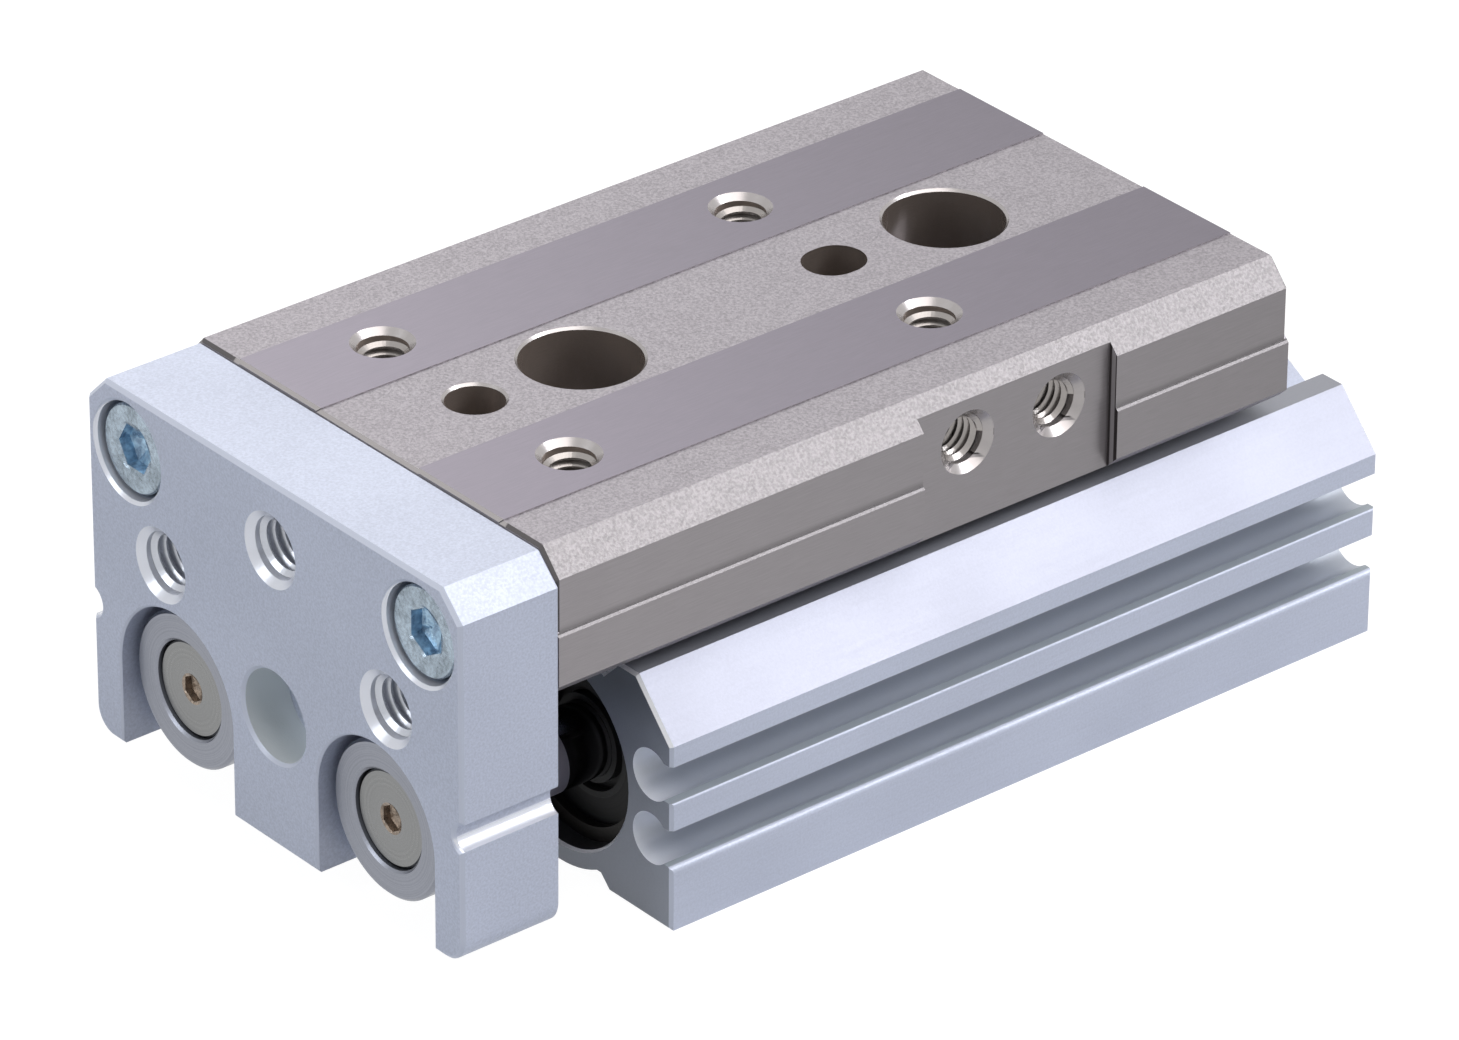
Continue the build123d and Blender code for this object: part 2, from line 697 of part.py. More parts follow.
def make_piston(y):
    """One piston, grooved for its seal and magnet and bored for the rod's spigot."""
    z = bore_axis_height
    radius = bore_radius - piston_clearance
    piston = rod_x(radius, piston_front, piston_rear, y, z)
    piston = chamfer(piston.edges(), piston_edge_break)
    (seal0, seal1), (magnet0, magnet1) = piston_bands()
    piston -= ring_x(radius + past, radius - seal_groove_depth, seal0, seal1, y, z)
    piston -= ring_x(radius + past, radius - magnet_depth, magnet0, magnet1, y, z)
    return piston - rod_x(rod_spigot_diameter / 2 + ring_fit, piston_front - past, piston_rear + past, y, z)


def make_piston_seal(y):
    """The piston's seal, with a lip on each edge."""
    radius = bore_radius - piston_clearance / 2
    x0, x1 = piston_bands()[0]
    inner = bore_radius - piston_clearance - seal_groove_depth + ring_fit
    seal = ring_x(radius, inner, x0 + ring_fit, x1 - ring_fit, y, bore_axis_height)
    waist = (x1 - x0) / 4
    middle = (x0 + x1) / 2
    return seal - ring_x(radius + past, radius - seal_lip_height, middle - waist / 2, middle + waist / 2,
                         y, bore_axis_height)


def make_magnet(y):
    """The ring magnet that a sensor in the grooves sees."""
    radius = bore_radius - piston_clearance
    x0, x1 = piston_bands()[1]
    return ring_x(radius - magnet_clearance, radius - magnet_depth + ring_fit, x0 + ring_fit, x1 - ring_fit,
                  y, bore_axis_height)


def make_cover(y):
    """One rod cover, bored from its front for the rod seal and from its rear for the bush."""
    z = bore_axis_height
    outer = mouth_radius - cover_clearance
    cover = rod_x(outer, cover_front, cover_rear, y, z)
    cover -= rod_x(rod_diameter / 2 + rod_seal_wall, cover_front - past, cover_front + rod_seal_length, y, z)
    cover -= rod_x(rod_diameter / 2 + cover_rod_clearance, cover_front, cover_rear, y, z)
    bush_radius = rod_diameter / 2 + rod_clearance + bush_wall
    cover -= rod_x(bush_radius, cover_rear - bush_length, cover_rear + past, y, z)
    groove = cover_front + o_ring_inset
    return cover - ring_x(outer + past, outer - o_ring_depth, groove, groove + o_ring_width, y, z)


def make_bush(y):
    """The plain bearing that the rod runs in."""
    inner = rod_diameter / 2 + rod_clearance
    return ring_x(inner + bush_wall, inner, cover_rear - bush_length, cover_rear, y, bore_axis_height)


def make_rod_seal(y):
    """The rod seal at the cover's front, with a raised wiping lip."""
    inner = rod_diameter / 2 + rod_clearance
    outer = rod_diameter / 2 + rod_seal_wall
    seal = ring_x(outer, inner, cover_front, cover_front + rod_seal_length, y, bore_axis_height)
    relief = ring_x(outer - rod_seal_lip, inner + rod_seal_lip, cover_front - past,
                    cover_front + rod_seal_length / 3, y, bore_axis_height)
    return seal - relief


def make_cover_o_ring(y):
    """The O-ring that seals a cover in its mouth."""
    groove = cover_front + o_ring_inset
    outer = mouth_radius - cover_clearance / 2
    inner = mouth_radius - cover_clearance - o_ring_depth + ring_fit
    return ring_x(outer, inner, groove + ring_fit, groove + o_ring_width - ring_fit, y, bore_axis_height)


def make_plug(y):
    """One head plug, with a nose for the bumper and an O-ring groove."""
    z = bore_axis_height
    outer = bore_radius - cover_clearance
    plug = rod_x(outer, plug_front, plug_rear, y, z)
    plug += rod_x(plug_nose_diameter / 2, rear_stop, plug_front, y, z)
    groove = plug_front + o_ring_width
    plug -= ring_x(outer + past, outer - o_ring_depth, groove, groove + o_ring_width, y, z)
    return plug - rod_x(plug_dimple_diameter / 2, plug_rear - plug_dimple_depth, plug_rear + past, y, z)


def make_plug_o_ring(y):
    """The O-ring of a head plug."""
    groove = plug_front + o_ring_width
    outer = bore_radius - cover_clearance / 2
    inner = bore_radius - cover_clearance - o_ring_depth + ring_fit
    return ring_x(outer, inner, groove + ring_fit, groove + o_ring_width - ring_fit, y, bore_axis_height)


def make_retaining_ring(seat_radius, x0, y):
    """An open ring with two plier eyes, sprung into a groove."""
    outer = seat_radius + ring_bite - ring_fit
    section = Circle(outer) - Circle(outer - ring_wall)
    half_gap = math.radians(ring_ear_gap_angle / 2)
    reach = seat_radius * 2
    section -= make_face(Polyline((0, 0), (reach * math.sin(half_gap), reach * math.cos(half_gap)),
                                  (-reach * math.sin(half_gap), reach * math.cos(half_gap)), close=True))
    ear = ring_wall * ring_ear_share
    for side in (-1, 1):
        angle = math.pi / 2 + side * (half_gap + ear / outer)
        centre = (math.cos(angle) * (outer - ear), math.sin(angle) * (outer - ear))
        section += Pos(*centre) * Circle(ear)
        section -= Pos(*centre) * Circle(ear * ring_eye_share)
    placed = Pos(y, bore_axis_height) * section
    return profile_along_x(placed, x0 + ring_fit, x0 + ring_thickness - ring_fit)


def make_rings(seat_radius, x0):
    """A pair of retaining rings, one for each bore."""
    return Compound(children=[make_retaining_ring(seat_radius, x0, y) for y in bore_sides.values()])


def make_front_bumper(y):
    """The rubber ring that the piston meets at full stroke."""
    outer = bore_radius - bumper_clearance
    x1 = piston_front - stroke
    return ring_x(outer, outer - bumper_wall, x1 - bumper_thickness, x1, y, bore_axis_height)


def make_rear_bumper(y):
    """The rubber ring round the plug's nose that the piston rests against."""
    inner = plug_nose_diameter / 2 + ring_fit
    return ring_x(inner + bumper_wall, inner, piston_rear, plug_front, y, bore_axis_height)


def build_nodes():
    """Every sub-part by its node name."""
    nodes = {
        "cylinder_body": make_body(),
        "guide_block": make_guide_block(),
        "guide_balls": make_balls(),
        "front_return_cap": make_return_cap(steel_front, -1),
        "rear_return_cap": make_return_cap(steel_rear, 1),
        "front_scraper": make_scraper(steel_front - cap_length, -1),
        "rear_scraper": make_scraper(steel_rear + cap_length, 1),
        "return_cap_screws": make_cap_screws(),
        "guide_block_screws": make_guide_block_screws(),
        "cover_retaining_rings": make_rings(mouth_radius, cover_front - ring_thickness),
        "plug_retaining_rings": make_rings(bore_radius, plug_rear),
        "slide_table": make_table(),
        "end_plate": make_plate(),
        "end_plate_screws": make_plate_screws(),
        "rod_end_screws": make_rod_screws(),
    }
    for side, y in bore_sides.items():
        nodes[f"{side}_rod_cover"] = make_cover(y)
        nodes[f"{side}_rod_bush"] = make_bush(y)
        nodes[f"{side}_rod_seal"] = make_rod_seal(y)
        nodes[f"{side}_cover_o_ring"] = make_cover_o_ring(y)
        nodes[f"{side}_head_plug"] = make_plug(y)
        nodes[f"{side}_plug_o_ring"] = make_plug_o_ring(y)
        nodes[f"{side}_front_bumper"] = make_front_bumper(y)
        nodes[f"{side}_rear_bumper"] = make_rear_bumper(y)
        nodes[f"{side}_piston_rod"] = make_rod(y)
        nodes[f"{side}_rod_disc"] = make_disc(y)
        nodes[f"{side}_piston"] = make_piston(y)
        nodes[f"{side}_piston_seal"] = make_piston_seal(y)
        nodes[f"{side}_piston_magnet"] = make_magnet(y)
    return nodes


def write_nodes():
    """Writes one STEP file for each sub-part."""
    os.makedirs("parts", exist_ok=True)
    for name, solid in build_nodes().items():
        export_step(solid, f"parts/{name}.step")


write_nodes()
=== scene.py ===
"""Finishes, threads, screws, light and camera for a pneumatic slide table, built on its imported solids."""
import logging
import math
from dataclasses import dataclass, field
from enum import Enum
from functools import reduce

import bmesh
import bpy
from mathutils import Matrix, Vector


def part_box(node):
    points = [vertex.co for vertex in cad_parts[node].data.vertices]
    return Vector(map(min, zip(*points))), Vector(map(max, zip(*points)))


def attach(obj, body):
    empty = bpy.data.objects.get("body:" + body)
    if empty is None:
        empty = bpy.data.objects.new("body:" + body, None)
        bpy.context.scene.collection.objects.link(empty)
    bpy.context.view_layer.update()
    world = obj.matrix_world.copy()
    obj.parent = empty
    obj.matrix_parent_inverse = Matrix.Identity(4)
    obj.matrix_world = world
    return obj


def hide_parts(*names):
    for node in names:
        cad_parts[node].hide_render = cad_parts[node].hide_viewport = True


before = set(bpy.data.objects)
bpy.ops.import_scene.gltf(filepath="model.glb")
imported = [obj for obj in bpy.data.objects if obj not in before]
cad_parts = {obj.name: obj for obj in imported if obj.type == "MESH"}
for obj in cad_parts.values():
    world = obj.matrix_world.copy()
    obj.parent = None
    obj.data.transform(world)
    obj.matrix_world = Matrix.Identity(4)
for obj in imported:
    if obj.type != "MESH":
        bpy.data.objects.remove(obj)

MM = 0.001
HAIR = 0.02 * MM
EDGE_SLANT = (0.35, 0.93)
LOG = logging.getLogger("slide_table")
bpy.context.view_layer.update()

Pair = tuple[float, float]
Triple = tuple[float, float, float]
Colour = Triple
Socket = bpy.types.NodeSocket
Value = Socket | float | tuple[float, ...]
Zones = dict[str, Socket]
Look = tuple[Socket, Socket, Value]


class Lay(Enum):
    """The direction in which the fine marks of a surface run."""

    NONE = "none"
    ALONG_TRAVEL = "along the travel"
    TURNED = "round the rod axes"


class Hand(Enum):
    """One of the two rod sides, by the sign of its Y."""

    LEFT = 1
    RIGHT = -1


class Sheet:
    """A node tree under construction, with short calls for the nodes that every finish uses."""

    def __init__(self, tree: bpy.types.NodeTree) -> None:
        """Keeps the tree and clears what it starts with."""
        self.tree = tree
        tree.nodes.clear()

    def node(self, kind: str, given: dict[str | int, Value] | None = None,
             **settings: object) -> bpy.types.Node:
        """Adds one node.

        Args:
            kind: The node's type name.
            given: What goes into its inputs, by their names or numbers.
            **settings: Properties to set on it.

        Returns:
            The new node.
        """
        made = self.tree.nodes.new(kind)
        for name, value in settings.items():
            setattr(made, name, value)
        for name, value in (given or {}).items():
            self.feed(value, made.inputs[name])
        return made

    def feed(self, source: Value, target: Socket) -> None:
        """Links a socket to an input, or sets the input when the source is a plain value.

        Args:
            source: The socket or value.
            target: The input.
        """
        if isinstance(source, Socket):
            self.tree.links.new(source, target)
        else:
            target.default_value = source

    def math(self, operation: str, *values: Value) -> Socket:
        """The result of a Math node with one to three inputs."""
        return self.node("ShaderNodeMath", dict(enumerate(values)), operation=operation).outputs[0]

    def step(self, value: Socket, low: float, high: float) -> Socket:
        """A smooth step from 0 at low to 1 at high."""
        given = {"Value": value, "From Min": low, "From Max": high}
        return self.node("ShaderNodeMapRange", given, interpolation_type="SMOOTHSTEP").outputs["Result"]

    def rest(self, mask: Socket) -> Socket:
        """1 where a mask is 0."""
        return self.math("SUBTRACT", 1.0, mask)

    def fall(self, value: Socket, low: float, high: float) -> Socket:
        """A smooth fall from 1 at low to 0 at high."""
        return self.rest(self.step(value, low, high))

    def span(self, value: Socket, low: float, high: float) -> Socket:
        """Maps 0 to low and 1 to high in a straight line."""
        made = self.node("ShaderNodeMapRange", {"Value": value, "To Min": low, "To Max": high})
        return made.outputs["Result"]

    def above(self, value: Socket, limit: float) -> Socket:
        """1 above a limit, 0 below it."""
        return self.math("GREATER_THAN", value, limit)

    def below(self, value: Socket, limit: float) -> Socket:
        """1 below a limit, 0 above it."""
        return self.math("LESS_THAN", value, limit)

    def highest(self, *masks: Socket) -> Socket:
        """The highest of several masks."""
        return reduce(lambda first, other: self.math("MAXIMUM", first, other), masks)

    def product(self, *masks: Value) -> Socket:
        """Several masks multiplied: 1 only where all of them are 1."""
        return reduce(lambda first, other: self.math("MULTIPLY", first, other), masks)

    def band(self, value: Socket, low: float, high: float, soft: float = 0.04) -> Socket:
        """1 between low and high, 0 outside them."""
        return self.product(self.step(value, low, low + soft), self.fall(value, high - soft, high))

    def bands(self, value: Socket, levels: tuple[float, ...], low: float, high: float, soft: float) -> Socket:
        """1 where a value is between low and high as measured from one of several levels."""
        return self.highest(*(self.band(value, level + low, level + high, soft) for level in levels))

    def reach(self, across: Socket, up: Socket, centre: tuple[Value, Value]) -> Socket:
        """The distance from a centre in the plane of two coordinates."""
        parts = [self.math("SUBTRACT", value, middle) for value, middle in zip((across, up), centre)]
        return self.math("SQRT", self.math("ADD", *(self.math("MULTIPLY", part, part) for part in parts)))

    def near(self, across: Socket, up: Socket, radius: float, *centres: Pair) -> Socket:
        """1 inside the circles of one radius round some centres, 0 outside them."""
        return self.highest(*(self.below(self.reach(across, up, centre), radius) for centre in centres))

    def mix(self, factor: Value, first: Value, second: Value, blend: str = "MIX") -> Socket:
        """A colour mix: the first colour at factor 0, the second at factor 1.

        Args:
            factor: How far the mix goes to the second colour.
            first: The first colour.
            second: The second colour.
            blend: The blend type.

        Returns:
            The mixed colour.
        """
        first, second = ((*value, 1.0) if isinstance(value, tuple) else value for value in (first, second))
        given = {0: factor, 6: first, 7: second}
        return self.node("ShaderNodeMix", given, data_type="RGBA", blend_type=blend).outputs[2]

    def blend(self, factor: Value, first: Value, second: Value) -> Socket:
        """A mix of two numbers: the first at factor 0, the second at factor 1."""
        return self.node("ShaderNodeMix", {0: factor, 2: first, 3: second}, data_type="FLOAT").outputs[0]

    def shade(self, tone: Socket, colour: Colour, contrast: float) -> Socket:
        """A colour that is darker at tone 0 and lighter at tone 1.

        Args:
            tone: The tone from 0 to 1.
            colour: The middle colour.
            contrast: The share by which it changes either way.

        Returns:
            The shaded colour.
        """
        dark, light = (tuple(min(1.0, part * (1.0 + change)) for part in colour)
                       for change in (-contrast, contrast))
        return self.mix(tone, dark, light)

    def vector(self, *parts: Value) -> Socket:
        """Three numbers joined to a vector."""
        return self.node("ShaderNodeCombineXYZ", dict(enumerate(parts))).outputs[0]

    def split(self, vector: Socket) -> tuple[Socket, ...]:
        """The three parts of a vector."""
        return tuple(self.node("ShaderNodeSeparateXYZ", {0: vector}).outputs)

    def noise(self, place: Socket, scale: Value, detail: float, roughness: float = 0.5) -> Socket:
        """The value of a noise texture."""
        given = {"Vector": place, "Scale": scale, "Detail": detail, "Roughness": roughness}
        return self.node("ShaderNodeTexNoise", given).outputs[0]

    def place(self, group: bpy.types.NodeTree, **values: Value) -> bpy.types.NodeOutputs:
        """Puts a shader group into the tree.

        Args:
            group: The group's tree.
            **values: What goes into its inputs, by name.

        Returns:
            The group's outputs.
        """
        return self.node("ShaderNodeGroup", values, node_tree=group).outputs

    def close_group(self, **results: Socket) -> bpy.types.NodeTree:
        """Ends a shader group, with an output for each result.

        Args:
            **results: The socket for each output, by the output's name.

        Returns:
            The group's tree.
        """
        for name in results:
            self.tree.interface.new_socket(name=name, in_out="OUTPUT", socket_type="NodeSocketFloat")
        self.node("NodeGroupOutput", results)
        return self.tree


def open_group(name: str, inputs: dict[str, float | None]) -> tuple[Sheet, bpy.types.NodeOutputs]:
    """Starts a shader group.

    Args:
        name: The group's name.
        inputs: Default of each input; None makes it a vector.

    Returns:
        The sheet and what comes in.
    """
    tree = bpy.data.node_groups.new(name, "ShaderNodeTree")
    for label, default in inputs.items():
        kind = "NodeSocketVector" if default is None else "NodeSocketFloat"
        made = tree.interface.new_socket(name=label, in_out="INPUT", socket_type=kind)
        if default is not None:
            made.default_value = default
    sheet = Sheet(tree)
    return sheet, sheet.node("NodeGroupInput").outputs


def grain_group() -> bpy.types.NodeTree:
    """Fine random grain, with sparse pits.

    Returns:
        A group with Vector and Size (metres) inputs and Tone, Height and Pits outputs.
    """
    sheet, given = open_group("fine_grain", {"Vector": None, "Size": 0.1 * MM})
    scale = sheet.math("DIVIDE", 1.0, given["Size"])
    fine = sheet.noise(given["Vector"], scale, detail=2.0, roughness=0.6)
    coarse = sheet.noise(given["Vector"], sheet.math("MULTIPLY", scale, 0.45), detail=3.0)
    return sheet.close_group(Tone=sheet.step(fine, 0.25, 0.75), Height=fine,
                             Pits=sheet.step(coarse, 0.66, 0.74))


def drawn_group() -> bpy.types.NodeTree:
    """Fine lines along X, as grinding, drawing or brushing leaves them.

    Returns:
        A group with Vector, Spacing and Stretch inputs and Tone and Height outputs.
    """
    sheet, given = open_group("drawn_lines", {"Vector": None, "Spacing": 0.1 * MM, "Stretch": 40.0})
    scale = sheet.math("DIVIDE", 1.0, given["Spacing"])
    sizes = sheet.vector(sheet.math("DIVIDE", scale, given["Stretch"]), scale, scale)
    stretched = sheet.node("ShaderNodeVectorMath", {0: given["Vector"], 1: sizes}, operation="MULTIPLY")
    lines = sheet.noise(stretched.outputs[0], 1.0, detail=4.0, roughness=0.65)
    return sheet.close_group(Tone=sheet.step(lines, 0.2, 0.8), Height=lines)


def turned_group() -> bpy.types.NodeTree:
    """Fine rings round both rod axes, as a lathe leaves them.

    Returns:
        A group with Vector, Spacing, Half Pitch and Axis Height inputs and Tone and Height outputs.
    """
    sheet, given = open_group("turned_rings", {"Vector": None, "Spacing": 0.12 * MM, "Half Pitch": 12 * MM,
                                               "Axis Height": 9.55 * MM})
    parts = sheet.split(given["Vector"])
    axis = (given["Half Pitch"], given["Axis Height"])
    radius = sheet.reach(sheet.math("ABSOLUTE", parts[1]), parts[2], axis)
    place = sheet.math("DIVIDE", radius, given["Spacing"])
    rings = sheet.node("ShaderNodeTexNoise", {"W": place, "Scale": 1.0, "Detail": 3.0}, noise_dimensions="1D")
    return sheet.close_group(Tone=sheet.step(rings.outputs[0], 0.25, 0.75), Height=rings.outputs[0])


def cloud_group() -> bpy.types.NodeTree:
    """Slow changes of tone over a surface.

    Returns:
        A group with Vector and Size inputs and a Tone output.
    """
    sheet, given = open_group("slow_tone", {"Vector": None, "Size": 12 * MM})
    slow = sheet.noise(given["Vector"], sheet.math("DIVIDE", 1.0, given["Size"]), detail=2.0)
    return sheet.close_group(Tone=sheet.step(slow, 0.3, 0.7))


@dataclass(frozen=True)
class Effects:
    """The shader groups that the finishes share."""

    grain: bpy.types.NodeTree
    drawn: bpy.types.NodeTree
    turned: bpy.types.NodeTree
    cloud: bpy.types.NodeTree


@dataclass(frozen=True)
class Spot:
    """Where a surface point lies and how it faces, as sockets of one material."""

    place: Socket
    x: Socket
    y: Socket
    z: Socket
    facing_x: Socket
    facing_y: Socket
    facing_z: Socket


@dataclass(frozen=True)
class Paint:
    """The colour of one zone, even or varied with the surface's tone by its contrast."""

    zone: str
    colour: Colour
    contrast: float = 0.0


@dataclass(frozen=True)
class Finish:
    """One surface finish: a colour with grain, fine marks, slow changes of tone and zones."""

    name: str
    colour: Colour
    metallic: float = 1.0
    roughness: float = 0.4
    roughness_spread: float = 0.06
    lay: Lay = Lay.NONE
    mark_spacing: float = 0.1 * MM
    mark_stretch: float = 40.0
    mark_depth: float = 0.002 * MM
    mark_contrast: float = 0.05
    grain_size: float = 0.12 * MM
    grain_depth: float = 0.003 * MM
    grain_contrast: float = 0.04
    cloud_size: float = 14 * MM
    cloud_contrast: float = 0.04
    specular: float = 0.5
    paints: tuple[Paint, ...] = ()
    worked_zone: str = ""
    worked_roughness: float = 0.3
    worked_metallic: float = 0.5

    def build(self, effects: Effects) -> bpy.types.Material:
        """Makes the finish's material.

        Args:
            effects: The shared shader groups.

        Returns:
            The new material.
        """
        made = bpy.data.materials.new(self.name)
        made.use_nodes = True
        sheet = Sheet(made.node_tree)
        coords = sheet.node("ShaderNodeTexCoord").outputs
        facing = [sheet.math("ABSOLUTE", part) for part in sheet.split(coords["Normal"])]
        spot = Spot(coords["Object"], *sheet.split(coords["Object"]), *facing)
        zones = self.zones(sheet, spot)
        tone, height = self.marks(sheet, effects, spot, zones)
        bump = sheet.node("ShaderNodeBump", {"Distance": 1.0, "Height": height})
        colour, rough, metallic = self.surface(sheet, spot, tone, zones)
        shader = sheet.node("ShaderNodeBsdfPrincipled", {
            "Normal": bump.outputs[0], "Specular IOR Level": self.specular, "Base Color": colour,
            "Roughness": rough, "Metallic": metallic})
        sheet.node("ShaderNodeOutputMaterial", {"Surface": shader.outputs[0]})
        return made

    def zones(self, sheet: Sheet, spot: Spot) -> Zones:
        """Masks of the areas that were worked in another way; a plain finish has none."""
        return {}

    def marks(self, sheet: Sheet, effects: Effects, spot: Spot, zones: Zones) -> tuple[Socket, Socket]:
        """Joins grain, marks and slow tone into one tone and one height.

        Args:
            sheet: The material's sheet.
            effects: The shared shader groups.
            spot: The surface point.
            zones: Masks of the worked areas.

        Returns:
            The tone from 0 to 1 and the height in metres.
        """
        grain = sheet.place(effects.grain, Vector=spot.place, Size=self.grain_size)
        cloud = sheet.place(effects.cloud, Vector=spot.place, Size=self.cloud_size)
        spread = self.spread()
        tone = sheet.math("MULTIPLY", grain["Tone"], self.grain_contrast / spread)
        tone = sheet.math("MULTIPLY_ADD", cloud["Tone"], self.cloud_contrast / spread, tone)
        height = sheet.math("MULTIPLY", grain["Height"], self.grain_depth)
        if self.lay is Lay.NONE:
            return sheet.math("ADD", tone, 0.5 * self.mark_contrast / spread), height
        marks = self.lines(sheet, effects, spot)
        tone = sheet.math("MULTIPLY_ADD", marks["Tone"], self.mark_contrast / spread, tone)
        return tone, sheet.math("MULTIPLY_ADD", marks["Height"], self.mark_depth, height)

    def lines(self, sheet: Sheet, effects: Effects, spot: Spot) -> bpy.types.NodeOutputs:
        """What the group that draws this finish's fine lines gives.

        Args:
            sheet: The material's sheet.
            effects: The shared shader groups.
            spot: The surface point.

        Returns:
            The group's outputs, with Tone and Height among them.
        """
        if self.lay is Lay.TURNED:
            return sheet.place(effects.turned, Vector=spot.place, Spacing=self.mark_spacing)
        return sheet.place(effects.drawn, Vector=spot.place, Spacing=self.mark_spacing,
                           Stretch=self.mark_stretch)

    def spread(self) -> float:
        """How far the colour strays from its middle, all marks together."""
        return self.mark_contrast + self.grain_contrast + self.cloud_contrast

    def painted(self, sheet: Sheet, colour: Socket, tone: Socket, zones: Zones) -> Socket:
        """Lays the colours of the zones over a colour, in their order.

        Args:
            sheet: The material's sheet.
            colour: The colour below.
            tone: The tone from 0 to 1.
            zones: Masks of the worked areas.

        Returns:
            The painted colour.
        """
        for paint in self.paints:
            coat = sheet.shade(tone, paint.colour, paint.contrast) if paint.contrast else paint.colour
            colour = sheet.mix(zones[paint.zone], colour, coat)
        return colour

    def surface(self, sheet: Sheet, spot: Spot, tone: Socket, zones: Zones) -> Look:
        """Turns tone and zones into colour, roughness and metallic.

        Args:
            sheet: The material's sheet.
            spot: The surface point.
            tone: The tone from 0 to 1.
            zones: Masks of the worked areas.

        Returns:
            The three values for the shader.
        """
        colour = self.painted(sheet, sheet.shade(tone, self.colour, self.spread()), tone, zones)
        spread = self.roughness_spread
        rough = sheet.span(tone, self.roughness + spread, self.roughness - spread)
        if not self.worked_zone:
            return colour, rough, self.metallic
        worked = zones[self.worked_zone]
        return (colour, sheet.blend(worked, rough, self.worked_roughness),
                sheet.span(worked, self.metallic, self.worked_metallic))


@dataclass(frozen=True)
class PlateFinish(Finish):
    """The anodised plate, whose holes were opened bright after anodising."""

    # The edge paint is a painted highlight on the broken edges.
    paints: tuple[Paint, ...] = (Paint("edge", (0.66, 0.70, 0.81)), Paint("centre", (0.84, 0.88, 0.88)),
                                 # Bare metal in the taps and counterbore mouths, plus a painted highlight on
                                 # the lower flank of each side groove.
                                 Paint("bare_and_highlight", (0.84, 0.86, 0.92)))
    worked_zone: str = "bare_and_highlight"
    worked_roughness: float = 0.26
    worked_metallic: float = 0.35
    tap_radius: float = 3.12 * MM
    taps: tuple[Pair, ...] = ((-13.5 * MM, 20.0 * MM), (13.5 * MM, 20.0 * MM), (0.0, 27.2 * MM))
    bore_radius: float = 4.3 * MM
    bores: tuple[Pair, ...] = ((-17.35 * MM, 27.5 * MM), (17.35 * MM, 27.5 * MM))
    bare_end: float = -51.15 * MM
    centre_radius: float = 3.8 * MM
    centre: Pair = (0.0, 13.2 * MM)
    flank_radius: float = 1.45 * MM
    flank: Pair = (22.4 * MM, 13.3 * MM)
    wall_facing: Pair = (0.9, 0.98)
    flank_facing: Pair = (0.15, 0.3)
    hole_facing: float = 0.5

    def zones(self, sheet: Sheet, spot: Spot) -> Zones:
        """The broken edges, the centre hole, the taps, the counterbore mouths and the side grooves.

        Args:
            sheet: The material's sheet.
            spot: The surface point.

        Returns:
            The mask of each zone, by its name.
        """
        mouths = sheet.product(sheet.near(spot.y, spot.z, self.bore_radius, *self.bores),
                               sheet.below(spot.x, self.bare_end))
        taps = sheet.near(spot.y, spot.z, self.tap_radius, *self.taps)
        holes = sheet.product(sheet.highest(taps, mouths), sheet.fall(spot.facing_x, *self.wall_facing))
        aside = sheet.math("ABSOLUTE", spot.y)
        # Painted highlight on the lower flank of each side groove, laid together with the bare hole metal.
        flank = sheet.product(sheet.near(aside, spot.z, self.flank_radius, self.flank),
                              sheet.step(spot.facing_z, *self.flank_facing),
                              sheet.below(spot.z, self.flank[1]))
        centre = sheet.product(sheet.near(spot.y, spot.z, self.centre_radius, self.centre),
                               sheet.below(spot.facing_x, self.hole_facing))
        return {"edge": sheet.band(spot.facing_x, *EDGE_SLANT), "centre": centre,
                "bare_and_highlight": sheet.highest(holes, flank)}


